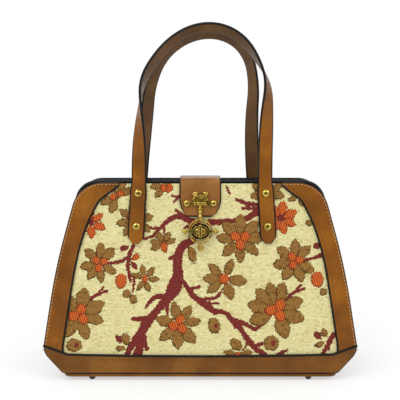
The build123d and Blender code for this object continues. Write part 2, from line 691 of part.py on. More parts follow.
with BuildSketch() as band_drawing:
    add(PANEL_FACE)
    add(band_region(0), mode=Mode.INTERSECT)
with BuildSketch() as right_trim_drawing:
    add(PANEL_FACE)
    add(trim_region(1, 0), mode=Mode.INTERSECT)
    add(band_region(SEAM_SPACE), mode=Mode.SUBTRACT)
with BuildSketch() as left_trim_drawing:
    add(PANEL_FACE)
    add(trim_region(-1, 0), mode=Mode.INTERSECT)
    add(band_region(SEAM_SPACE), mode=Mode.SUBTRACT)
with BuildSketch() as window_drawing:
    add(TAPESTRY_FACE)
    add(trim_region(1, FIGURE_MARGIN), mode=Mode.SUBTRACT)
    add(trim_region(-1, FIGURE_MARGIN), mode=Mode.SUBTRACT)
    add(band_region(FIGURE_MARGIN), mode=Mode.SUBTRACT)
with BuildSketch() as facing_drawing:
    facing_top = PANEL_HEIGHT - FACING_TOP_DROP
    facing_low = PANEL_HEIGHT - GUSSET_DROP + FACING_SPACE
    facing_half = TOP_WIDTH / 2 - FACING_MARGIN
    with BuildLine():
        Polyline((-facing_half, facing_low), (facing_half, facing_low), (facing_half, facing_top),
                 (-facing_half, facing_top), close=True)
    make_face()

# Places of the rivets
FRONT_HANDLE_PLACES = handle_places(FRONT_HANDLE_SPAN, FRONT_HANDLE_SHIFT)
BACK_HANDLE_PLACES = handle_places(BACK_HANDLE_SPAN, BACK_HANDLE_SHIFT)
LOCK_PLACES = [(-LOCK_RIVET_SPREAD / 2, RING_V), (LOCK_RIVET_SPREAD / 2, RING_V)]
FLAP_PLACES = [(-FLAP_RIVET_SPREAD / 2, PANEL_HEIGHT - FLAP_RIVET_DROP),
               (FLAP_RIVET_SPREAD / 2, PANEL_HEIGHT - FLAP_RIVET_DROP)]
CLASP_PLACES = [(-CLASP_RIVET_SPREAD / 2, HINGE_V), (CLASP_RIVET_SPREAD / 2, HINGE_V)]
FRONT_HOLES = [(u, v, RIVET_HOLE_RADIUS) for u, v in FRONT_HANDLE_PLACES]
FRONT_HOLES += [(u, v, LOCK_HOLE_RADIUS) for u, v in LOCK_PLACES]
BACK_HOLES = [(u, v, RIVET_HOLE_RADIUS) for u, v in BACK_HANDLE_PLACES + FLAP_PLACES]

# Boards, tapestries and trims
front_board = make_plate(FRONT, BOARD_FACE, -BOARD_THICKNESS, 0, FRONT_HOLES)
back_board = make_plate(BACK, BOARD_FACE, -BOARD_THICKNESS, 0, BACK_HOLES)
front_tapestry = make_plate(FRONT, TAPESTRY_FACE, 0, TAPESTRY_THICKNESS, FRONT_HOLES)
back_tapestry = make_plate(BACK, TAPESTRY_FACE, 0, TAPESTRY_THICKNESS, BACK_HOLES)
TRIM_W = TAPESTRY_THICKNESS + TRIM_THICKNESS
BAND_W = TAPESTRY_THICKNESS + BAND_THICKNESS
front_left_trim = make_plate(FRONT, left_trim_drawing.sketch, TAPESTRY_THICKNESS, TRIM_W, [])
front_right_trim = make_plate(FRONT, right_trim_drawing.sketch, TAPESTRY_THICKNESS, TRIM_W, [])
back_left_trim = make_plate(BACK, right_trim_drawing.sketch, TAPESTRY_THICKNESS, TRIM_W, [])
back_right_trim = make_plate(BACK, left_trim_drawing.sketch, TAPESTRY_THICKNESS, TRIM_W, [])
front_base_band = make_plate(FRONT, band_drawing.sketch, TAPESTRY_THICKNESS, BAND_W, [])
back_base_band = make_plate(BACK, band_drawing.sketch, TAPESTRY_THICKNESS, BAND_W, [])
FACING_W = -BOARD_THICKNESS - LINING_GAP
front_facing = make_plate(FRONT, facing_drawing.sketch, FACING_W - LINING_THICKNESS, FACING_W, [])
back_facing = make_plate(BACK, facing_drawing.sketch, FACING_W - LINING_THICKNESS, FACING_W, [])

# Figure of the tapestry
brown_faces = []
for flower in BROWN_BLOSSOM_SHARES:
    brown_faces += blossom_petals(flower)
brown_faces += [closed_face(bud_points(bud)) for bud in BROWN_BUD_SHARES]
orange_faces = []
for flower in BROWN_BLOSSOM_SHARES:
    orange_faces += blossom_lobes(flower)
for flower in ORANGE_BLOSSOM_SHARES:
    orange_faces += blossom_petals(flower)
orange_faces += [closed_face(bud_points(bud)) for bud in ORANGE_BUD_SHARES]
burgundy_faces = [closed_face(branch_points(branch)) for branch in BRANCH_SHARES]
burgundy_faces += [closed_face(bud_points(bud)) for bud in BURGUNDY_LEAF_SHARES]
for flower in ORANGE_BLOSSOM_SHARES:
    burgundy_faces += blossom_lobes(flower)
orange_grown = [grown(face) for face in orange_faces]
brown_grown = [grown(face) for face in brown_faces]
with BuildSketch() as orange_cuts:
    add(orange_grown)
with BuildSketch() as flower_cuts:
    add(orange_grown)
    add(brown_grown)
WINDOW = window_drawing.sketch
front_blossom_centres = make_figure(FRONT, orange_faces, WINDOW, None, FRONT_HOLES)
front_petals = make_figure(FRONT, brown_faces, WINDOW, orange_cuts.sketch, FRONT_HOLES)
front_branches = make_figure(FRONT, burgundy_faces, WINDOW, flower_cuts.sketch, FRONT_HOLES)
back_blossom_centres = make_figure(BACK, orange_faces, WINDOW, None, BACK_HOLES)
back_petals = make_figure(BACK, brown_faces, WINDOW, orange_cuts.sketch, BACK_HOLES)
back_branches = make_figure(BACK, burgundy_faces, WINDOW, flower_cuts.sketch, BACK_HOLES)

# Mouth binding
front_binding = make_binding(FRONT)
back_binding = make_binding(BACK)

# Gussets and lining
left_gusset = make_gusset(-1)
right_gusset = make_gusset(1)
LINING_Z = PANEL_Z + BASE_BOARD_THICKNESS + LAY_SPACE
with BuildPart() as lining:
    for level, half, ends, fold in lining_levels(0, LINING_Z):
        with BuildSketch(Plane.XY.offset(level)):
            with BuildLine():
                Polyline((ends, -half), (ends - fold, 0), (ends, half), (-ends, half),
                         (-ends + fold, 0), (-ends, -half), close=True)
            make_face()
    loft(ruled=True)
    for level, half, ends, fold in lining_levels(LINING_THICKNESS, LINING_Z + LINING_THICKNESS):
        with BuildSketch(Plane.XY.offset(level)):
            with BuildLine():
                Polyline((ends, -half), (ends - fold, 0), (ends, half), (-ends, half),
                         (-ends + fold, 0), (-ends, -half), close=True)
            make_face()
    loft(ruled=True, mode=Mode.SUBTRACT)

# Sole, base board and feet
FOOT_PLACES = [(side * FOOT_SPREAD / 2, end * FOOT_DEPTH_SPREAD / 2) for side in (-1, 1) for end in (-1, 1)]
with BuildPart() as sole:
    with BuildSketch(Plane.XY.offset(FOOT_HEIGHT)):
        RectangleRounded(FLOOR_WIDTH, BASE_DEPTH + 2 * SOLE_REACH, SOLE_CORNER_RADIUS)
        with Locations(*FOOT_PLACES):
            Circle(FOOT_SHANK_RADIUS + TOUCH_SPACE, mode=Mode.SUBTRACT)
    extrude(amount=SOLE_THICKNESS)
BASE_BOARD_LENGTH = FLOOR_WIDTH - 2 * (GUSSET_INSET + GUSSET_THICKNESS + GUSSET_SLACK + LAY_SPACE)
BASE_BOARD_DEPTH = 2 * (wall_y(PANEL_Z + BASE_BOARD_THICKNESS, -BOARD_THICKNESS) - LAY_SPACE)
with BuildPart() as base_board:
    with BuildSketch(Plane.XY.offset(PANEL_Z)):
        Rectangle(BASE_BOARD_LENGTH, BASE_BOARD_DEPTH)
    extrude(amount=BASE_BOARD_THICKNESS)
with BuildPart() as feet:
    for x, y in FOOT_PLACES:
        with BuildSketch(Plane(origin=(x, y, 0), x_dir=(1, 0, 0), z_dir=(0, -1, 0))):
            with BuildLine():
                Polyline((0, 0), (FOOT_TIP_RADIUS, 0), (FOOT_RADIUS, FOOT_HEIGHT - FOOT_RIM),
                         (FOOT_RADIUS, FOOT_HEIGHT), (FOOT_SHANK_RADIUS, FOOT_HEIGHT),
                         (FOOT_SHANK_RADIUS, FOOT_HEIGHT + SOLE_THICKNESS),
                         (0, FOOT_HEIGHT + SOLE_THICKNESS), close=True)
            make_face()
        revolve(axis=Axis((x, y, 0), (0, 0, 1)))

# Handles
front_handle = make_handle(FRONT, FRONT_HANDLE_SPAN, FRONT_HANDLE_SHIFT, FRONT_ARCH_RISE,
                           FRONT_HANDLE_SWAY, False)
back_handle = make_handle(BACK, BACK_HANDLE_SPAN, BACK_HANDLE_SHIFT, BACK_ARCH_RISE,
                          BACK_HANDLE_SWAY, True)
front_handle_rivets = make_rivets(FRONT, FRONT_HANDLE_PLACES, STRAP_W, RIVET_HEAD_RADIUS, RIVET_HEAD_HEIGHT,
                                  RIVET_SHANK_RADIUS, -BOARD_THICKNESS, BURR_RADIUS)
back_handle_rivets = make_rivets(BACK, BACK_HANDLE_PLACES, STRAP_W, RIVET_HEAD_RADIUS, RIVET_HEAD_HEIGHT,
                                 RIVET_SHANK_RADIUS, -BOARD_THICKNESS, BURR_RADIUS)

# Closure flap
FLAP_MID_W = SEAT_W + FLAP_THICKNESS / 2
FLAP_TOP_Z = PANEL_Z + PANEL_HEIGHT * cos(LEAN) + FLAP_LIFT
flap_front_end = panel_point(0, PANEL_HEIGHT - FLAP_DROP, FLAP_MID_W)
flap_back_end = panel_point(0, PANEL_HEIGHT - FLAP_TAIL, FLAP_MID_W)
flap_bend_v = (FLAP_TOP_Z - PANEL_Z - FLAP_MID_W * sin(LEAN)) / cos(LEAN)
flap_bend = panel_point(0, flap_bend_v, FLAP_MID_W)
with BuildPart() as closure_flap:
    with BuildSketch(Plane.YZ.offset(-FLAP_WIDTH / 2)):
        with BuildLine():
            FilletPolyline((flap_front_end.Y, flap_front_end.Z), (flap_bend.Y, flap_bend.Z),
                           (-flap_bend.Y, flap_bend.Z), (-flap_back_end.Y, flap_back_end.Z),
                           radius=FLAP_BEND_RADIUS)
        trace(line_width=FLAP_THICKNESS)
    extrude(amount=FLAP_WIDTH)
    for side in (-1, 1):
        with BuildSketch(FRONT.offset(SEAT_W - FLAP_THICKNESS)):
            with BuildLine():
                Polyline((side * FLAP_WIDTH / 2, PANEL_HEIGHT - FLAP_TAPER_DROP),
                         (side * FLAP_TIP_WIDTH / 2, PANEL_HEIGHT - FLAP_DROP),
                         (side * FLAP_TIP_WIDTH / 2, PANEL_HEIGHT - FLAP_DROP - FLAP_THICKNESS),
                         (side * FLAP_WIDTH, PANEL_HEIGHT - FLAP_DROP - FLAP_THICKNESS),
                         (side * FLAP_WIDTH, PANEL_HEIGHT - FLAP_TAPER_DROP), close=True)
            make_face()
        extrude(amount=3 * FLAP_THICKNESS, mode=Mode.SUBTRACT)
    with BuildSketch(FRONT.offset(SEAT_W - FLAP_THICKNESS)):
        with Locations(*CLASP_PLACES):
            Circle(RIVET_HOLE_RADIUS)
    extrude(amount=3 * FLAP_THICKNESS, mode=Mode.SUBTRACT)
    with BuildSketch(BACK.offset(SEAT_W - FLAP_THICKNESS)):
        with Locations(*FLAP_PLACES):
            Circle(RIVET_HOLE_RADIUS)
    extrude(amount=3 * FLAP_THICKNESS, mode=Mode.SUBTRACT)
flap_rivets = make_rivets(BACK, FLAP_PLACES, FLAP_W, FLAP_RIVET_RADIUS, FLAP_RIVET_HEIGHT,
                          RIVET_SHANK_RADIUS, -BOARD_THICKNESS, BURR_RADIUS)

# Clasp plate with its ears and crown
HINGE_POINT = panel_point(0, HINGE_V, HINGE_W)
HINGE_PLANE = Plane(origin=HINGE_POINT, x_dir=FRONT.y_dir, z_dir=FRONT.x_dir)
EAR_START = BARREL_LENGTH / 2 + LAY_SPACE
EAR_DEPTH = HINGE_W - FLAP_W
with BuildPart() as clasp_plate:
    with BuildSketch(FRONT.offset(FLAP_W)):
        with Locations((0, HINGE_V)):
            SlotCenterToCenter(CLASP_RIVET_SPREAD, CLASP_BAR_WIDTH)
        with Locations(*CLASP_PLACES):
            Circle(RIVET_HOLE_RADIUS, mode=Mode.SUBTRACT)
    extrude(amount=CLASP_PLATE_THICKNESS)
    with BuildSketch(FRONT.offset(FLAP_W)):
        with Locations((0, HINGE_V + CLASP_BLOCK_RISE)):
            Rectangle(CLASP_BLOCK_WIDTH, CLASP_BLOCK_HEIGHT)
    extrude(amount=CLASP_BLOCK_DEPTH)
    for start in (EAR_START, -EAR_START - EAR_LENGTH):
        with BuildSketch(HINGE_PLANE.offset(start)):
            Circle(BARREL_RADIUS)
            with Locations((0, -EAR_DEPTH / 2)):
                Rectangle(2 * BARREL_RADIUS, EAR_DEPTH)
            Circle(PIN_RADIUS + TOUCH_SPACE, mode=Mode.SUBTRACT)
        extrude(amount=EAR_LENGTH)
    for side in (-1, 1):
        splay = radians(CROWN_SPLAY_DEG)
        lobe_axis = FRONT.y_dir * cos(splay) + FRONT.x_dir * (side * sin(splay))
        lobe_side = FRONT.x_dir * cos(splay) - FRONT.y_dir * (side * sin(splay))
        lobe_w = FLAP_W + CROWN_RADIUS + LAY_SPACE
        lobe_foot = panel_point(side * CROWN_SPREAD / 2, HINGE_V + CLASP_BLOCK_RISE, lobe_w)
        with BuildSketch(turned_plane(lobe_foot, lobe_axis, lobe_side)):
            with BuildLine():
                Polyline(*turned_corners(CROWN_SHARES, CROWN_RADIUS, CROWN_HEIGHT), close=True)
            make_face()
        revolve(axis=Axis(lobe_foot, lobe_axis))
clasp_rivets = make_rivets(FRONT, CLASP_PLACES, CLASP_W, FLAP_RIVET_RADIUS, FLAP_RIVET_HEIGHT,
                           RIVET_SHANK_RADIUS, SEAT_W + BURR_THICKNESS + 2 * TOUCH_SPACE, RIVET_SHANK_RADIUS)
with BuildPart() as hinge_pin:
    with BuildSketch(HINGE_PLANE.offset(-EAR_START - EAR_LENGTH)):
        Circle(PIN_RADIUS)
    extrude(amount=2 * (EAR_START + EAR_LENGTH))

# Hasp: barrel, turned stem, ring, slotted jaws and finials
RING_POINT = panel_point(0, RING_V, HINGE_W)
RING_ACROSS = Plane(origin=RING_POINT, x_dir=FRONT.x_dir, z_dir=FRONT.x_dir.cross(FRONT.z_dir))
DOWN = FRONT.y_dir * -1
FINIAL_REACH = HASP_RING_RADIUS + HASP_RING_WIRE - FINIAL_SINK
STEM_LENGTH = HASP_REACH - HASP_RING_RADIUS
FINIALS = ((FRONT.x_dir, FRONT.y_dir, 1), (FRONT.x_dir * -1, FRONT.y_dir, 1),
           (DOWN, FRONT.x_dir, TIP_FINIAL_SHARE))
with BuildPart() as hasp:
    with BuildSketch(RING_ACROSS):
        with Locations((HASP_RING_RADIUS, 0)):
            Circle(HASP_RING_WIRE)
    revolve(axis=Axis(RING_POINT, FRONT.z_dir))
    with BuildSketch(turned_plane(HINGE_POINT, DOWN, FRONT.x_dir)):
        with BuildLine():
            Polyline(*turned_corners(HASP_STEM_SHARES, HASP_STEM_RADIUS, STEM_LENGTH), close=True)
        make_face()
    revolve(axis=Axis(HINGE_POINT, DOWN))
    for finial_axis, finial_side, finial_share in FINIALS:
        finial_foot = RING_POINT + finial_axis * FINIAL_REACH
        finial_radius = FINIAL_RADIUS * finial_share
        finial_length = FINIAL_LENGTH * finial_share
        with BuildSketch(turned_plane(finial_foot, finial_axis, finial_side)):
            with BuildLine():
                Polyline(*turned_corners(FINIAL_SHARES, finial_radius, finial_length), close=True)
            make_face()
        revolve(axis=Axis(finial_foot, finial_axis))
    with BuildSketch(FRONT.offset(HASP_BACK_W)):
        with Locations((0, RING_V)):
            Ellipse(JAW_LENGTH / 2, JAW_HEIGHT / 2)
            Rectangle(2 * HASP_RING_RADIUS, BRIDGE_HEIGHT)
            Ellipse(WINDOW_LENGTH / 2, WINDOW_HEIGHT / 2, mode=Mode.SUBTRACT)
            Rectangle(JAW_SLOT, 2 * JAW_HEIGHT, mode=Mode.SUBTRACT)
    extrude(amount=HASP_THICKNESS)
    with BuildSketch(HINGE_PLANE.offset(-BARREL_LENGTH / 2)):
        Circle(BARREL_RADIUS)
    extrude(amount=BARREL_LENGTH)
    with BuildSketch(HINGE_PLANE.offset(-BARREL_LENGTH / 2)):
        Circle(PIN_RADIUS + PIN_SPACE)
    extrude(amount=BARREL_LENGTH, mode=Mode.SUBTRACT)

# Lock base with its boss, turn button, washer and rivets
with BuildPart() as lock_base:
    with BuildSketch(FRONT.offset(SEAT_W)):
        with Locations((0, RING_V)):
            Ellipse(LOCK_PLATE_LENGTH / 2, LOCK_PLATE_HEIGHT / 2)
        with Locations(*LOCK_PLACES):
            Circle(LOCK_HOLE_RADIUS, mode=Mode.SUBTRACT)
    extrude(amount=LOCK_PLATE_THICKNESS)
    with BuildSketch(FRONT.offset(SEAT_W)):
        with Locations((0, RING_V)):
            Ellipse(BOSS_LENGTH / 2, BOSS_HEIGHT / 2)
    extrude(amount=BOSS_W - SEAT_W)
    with BuildSketch(FRONT.offset(SEAT_W)):
        with Locations((0, RING_V)):
            Circle(SPINDLE_RADIUS + PIN_SPACE)
    extrude(amount=BOSS_W - SEAT_W, mode=Mode.SUBTRACT)
    with BuildSketch(FRONT.offset(SEAT_W)):
        with Locations((0, RING_V)):
            Circle(WASHER_RADIUS + PIN_SPACE)
    extrude(amount=WASHER_THICKNESS + 2 * PIN_SPACE, mode=Mode.SUBTRACT)
with BuildPart() as turn_button:
    with BuildSketch(FRONT.offset(BUTTON_W)):
        with Locations((0, RING_V)):
            SlotOverall(BUTTON_LENGTH, BUTTON_WIDTH, rotation=90)
    extrude(amount=BUTTON_THICKNESS)
    button_axis = Axis(RING_POINT, FRONT.z_dir)
    chamfer(faces().sort_by(button_axis)[-1].edges(), BUTTON_EDGE)
    with BuildSketch(FRONT.offset(SEAT_W + PIN_SPACE)):
        with Locations((0, RING_V)):
            Circle(SPINDLE_RADIUS)
    extrude(amount=BUTTON_W - SEAT_W - PIN_SPACE)
with BuildPart() as button_washer:
    with BuildSketch(FRONT.offset(SEAT_W + PIN_SPACE)):
        with Locations((0, RING_V)):
            Circle(WASHER_RADIUS)
            Circle(SPINDLE_RADIUS + TOUCH_SPACE, mode=Mode.SUBTRACT)
    extrude(amount=WASHER_THICKNESS)
lock_rivets = make_rivets(FRONT, LOCK_PLACES, SEAT_W + LOCK_PLATE_THICKNESS, LOCK_RIVET_RADIUS,
                          LOCK_RIVET_HEIGHT, LOCK_SHANK_RADIUS, -BOARD_THICKNESS, LOCK_RIVET_RADIUS)

# One file for each piece
front_board.part.label = "front_board"
export_step(front_board.part, "parts/front_board.step")
back_board.part.label = "back_board"
export_step(back_board.part, "parts/back_board.step")
front_tapestry.part.label = "front_tapestry"
export_step(front_tapestry.part, "parts/front_tapestry.step")
back_tapestry.part.label = "back_tapestry"
export_step(back_tapestry.part, "parts/back_tapestry.step")
front_petals.part.label = "front_petals"
export_step(front_petals.part, "parts/front_petals.step")
back_petals.part.label = "back_petals"
export_step(back_petals.part, "parts/back_petals.step")
front_blossom_centres.part.label = "front_blossom_centres"
export_step(front_blossom_centres.part, "parts/front_blossom_centres.step")
back_blossom_centres.part.label = "back_blossom_centres"
export_step(back_blossom_centres.part, "parts/back_blossom_centres.step")
front_branches.part.label = "front_branches"
export_step(front_branches.part, "parts/front_branches.step")
back_branches.part.label = "back_branches"
export_step(back_branches.part, "parts/back_branches.step")
front_left_trim.part.label = "front_left_trim"
export_step(front_left_trim.part, "parts/front_left_trim.step")
front_right_trim.part.label = "front_right_trim"
export_step(front_right_trim.part, "parts/front_right_trim.step")
back_left_trim.part.label = "back_left_trim"
export_step(back_left_trim.part, "parts/back_left_trim.step")
back_right_trim.part.label = "back_right_trim"
export_step(back_right_trim.part, "parts/back_right_trim.step")
front_base_band.part.label = "front_base_band"
export_step(front_base_band.part, "parts/front_base_band.step")
back_base_band.part.label = "back_base_band"
export_step(back_base_band.part, "parts/back_base_band.step")
front_facing.part.label = "front_facing"
export_step(front_facing.part, "parts/front_facing.step")
back_facing.part.label = "back_facing"
export_step(back_facing.part, "parts/back_facing.step")
front_binding.part.label = "front_binding"
export_step(front_binding.part, "parts/front_binding.step")
back_binding.part.label = "back_binding"
export_step(back_binding.part, "parts/back_binding.step")
left_gusset.part.label = "left_gusset"
export_step(left_gusset.part, "parts/left_gusset.step")
right_gusset.part.label = "right_gusset"
export_step(right_gusset.part, "parts/right_gusset.step")
lining.part.label = "lining"
export_step(lining.part, "parts/lining.step")
sole.part.label = "sole"
export_step(sole.part, "parts/sole.step")
base_board.part.label = "base_board"
export_step(base_board.part, "parts/base_board.step")
feet.part.label = "feet"
export_step(feet.part, "parts/feet.step")
front_handle.part.label = "front_handle"
export_step(front_handle.part, "parts/front_handle.step")
back_handle.part.label = "back_handle"
export_step(back_handle.part, "parts/back_handle.step")
front_handle_rivets.part.label = "front_handle_rivets"
export_step(front_handle_rivets.part, "parts/front_handle_rivets.step")
back_handle_rivets.part.label = "back_handle_rivets"
export_step(back_handle_rivets.part, "parts/back_handle_rivets.step")
closure_flap.part.label = "closure_flap"
export_step(closure_flap.part, "parts/closure_flap.step")
flap_rivets.part.label = "flap_rivets"
export_step(flap_rivets.part, "parts/flap_rivets.step")
clasp_plate.part.label = "clasp_plate"
export_step(clasp_plate.part, "parts/clasp_plate.step")
clasp_rivets.part.label = "clasp_rivets"
export_step(clasp_rivets.part, "parts/clasp_rivets.step")
hinge_pin.part.label = "hinge_pin"
export_step(hinge_pin.part, "parts/hinge_pin.step")
hasp.part.label = "hasp"
export_step(hasp.part, "parts/hasp.step")
lock_base.part.label = "lock_base"
export_step(lock_base.part, "parts/lock_base.step")
lock_rivets.part.label = "lock_rivets"
export_step(lock_rivets.part, "parts/lock_rivets.step")
turn_button.part.label = "turn_button"
export_step(turn_button.part, "parts/turn_button.step")
button_washer.part.label = "button_washer"
export_step(button_washer.part, "parts/button_washer.step")
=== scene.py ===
"""Looks of a carpet bag, laid out as an add-on: one operator for each group of pieces and one for the stage."""

import math

import bmesh
import bpy
import numpy as np
from bpy.props import FloatProperty, FloatVectorProperty, PointerProperty
from bpy.types import Operator, Panel, PropertyGroup
from mathutils import Matrix, Vector


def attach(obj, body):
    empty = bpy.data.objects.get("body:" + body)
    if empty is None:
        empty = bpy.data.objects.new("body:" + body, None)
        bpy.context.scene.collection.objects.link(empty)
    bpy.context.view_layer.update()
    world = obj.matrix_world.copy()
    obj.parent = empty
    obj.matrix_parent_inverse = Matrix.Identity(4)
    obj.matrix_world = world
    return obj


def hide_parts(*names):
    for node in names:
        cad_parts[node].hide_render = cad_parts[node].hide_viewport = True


bl_info = {
    "name": "Carpet Bag",
    "version": (1, 0, 0),
    "blender": (4, 5, 0),
    "location": "3D View > Sidebar > Carpet Bag",
    "description": "Builds the looks of a tapestry carpet bag with leather trims and brass fittings",
    "category": "Add Mesh",
}

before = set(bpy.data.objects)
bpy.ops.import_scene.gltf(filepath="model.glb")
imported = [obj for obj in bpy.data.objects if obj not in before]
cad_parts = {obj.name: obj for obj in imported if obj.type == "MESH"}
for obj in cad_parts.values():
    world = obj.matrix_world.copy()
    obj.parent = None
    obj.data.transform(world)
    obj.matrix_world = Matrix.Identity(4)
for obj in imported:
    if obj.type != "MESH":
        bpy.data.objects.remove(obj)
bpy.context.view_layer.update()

# Figure of the tapestry, as shares of half the hip width across and of the panel height up.
# Blossoms: across, up, size, turns of the petals in degrees, number of centre lobes, turn of the lobes.
BROWN_BLOSSOMS = (
    (-0.535, 0.930, 0.094, (23, 62, 120, 210, 253), 2, 20),
    (-0.420, 0.800, 0.104, (10, 55, 100, 145, 192, 235, 280, 325), 3, 26),
    (-0.236, 0.675, 0.068, (20, 62, 118, 168, 205), 0, 0),
    (-0.642, 0.573, 0.110, (45, 86, 136, 192, 234, 275, 329), 3, 21),
    (-0.352, 0.492, 0.080, (50, 105, 161, 237, 288, 357), 1, 0),
    (-0.769, 0.304, 0.137, (26, 78, 130, 180, 238, 288, 345), 3, 72),
    (-0.139, 0.252, 0.126, (11, 56, 102, 165, 220, 268, 313), 3, 72),
    (0.255, 0.698, 0.132, (8, 45, 90, 135, 175, 223, 270, 320), 3, 30),
    (0.153, 0.492, 0.115, (67, 137, 180, 219, 290, 352), 1, 0),
    (0.602, 0.587, 0.112, (43, 88, 143, 193, 237, 289, 329), 3, 5),
    (0.486, 0.327, 0.146, (22, 76, 106, 134, 168, 204, 289, 341), 3, 60),
    (0.430, 0.945, 0.090, (30, 150, 193, 347), 0, 0),
    (0.640, 0.945, 0.080, (215, 277), 0, 0),
    (0.240, 0.095, 0.080, (12, 168), 1, 0),
    (-0.225, 0.985, 0.080, (188, 232), 0, 0),
)
ORANGE_BLOSSOMS = (
    (-0.700, 0.786, 0.080, (35, 92, 150, 215, 275, 338), 1, 0),
    (0.514, 0.809, 0.089, (25, 80, 130, 180, 230, 284, 336), 1, 0),
)
# Buds and leaves: across, up, half width, half length, turn in degrees.
ORANGE_BUDS = (
    (-0.505, 0.480, 0.032, 0.041, 0),
    (0.745, 0.488, 0.034, 0.042, 0),
    (-0.412, 0.604, 0.017, 0.024, -53),
    (-0.229, 0.655, 0.019, 0.029, 10),
    (-0.235, 0.968, 0.016, 0.024, 20),
    (-0.197, 0.968, 0.018, 0.026, -25),
)
BROWN_BUDS = (
    (-0.051, 0.618, 0.023, 0.046, 8),
    (0.088, 0.248, 0.032, 0.044, 10),
    (0.227, 0.148, 0.028, 0.038, 45),
    (0.449, 0.156, 0.041, 0.040, 0),
    (-0.800, 0.145, 0.042, 0.035, 0),
    (-0.468, 0.412, 0.023, 0.025, 0),
    (-0.426, 0.385, 0.021, 0.026, 0),
    (-0.472, 0.178, 0.022, 0.031, 10),
    (-0.505, 0.129, 0.015, 0.027, 90),
    (0.782, 0.424, 0.020, 0.022, 0),
    (0.787, 0.209, 0.017, 0.024, 20),
    (0.755, 0.148, 0.015, 0.027, -70),
    (0.700, 0.786, 0.018, 0.026, 90),
)
BURGUNDY_LEAVES = (
    (-0.514, 0.179, 0.017, 0.027, 45),
    (0.745, 0.196, 0.019, 0.025, 45),
    (-0.486, 0.652, 0.016, 0.024, -73),
    (-0.420, 0.561, 0.012, 0.026, 40),
    (0.741, 0.664, 0.018, 0.020, -60),
)
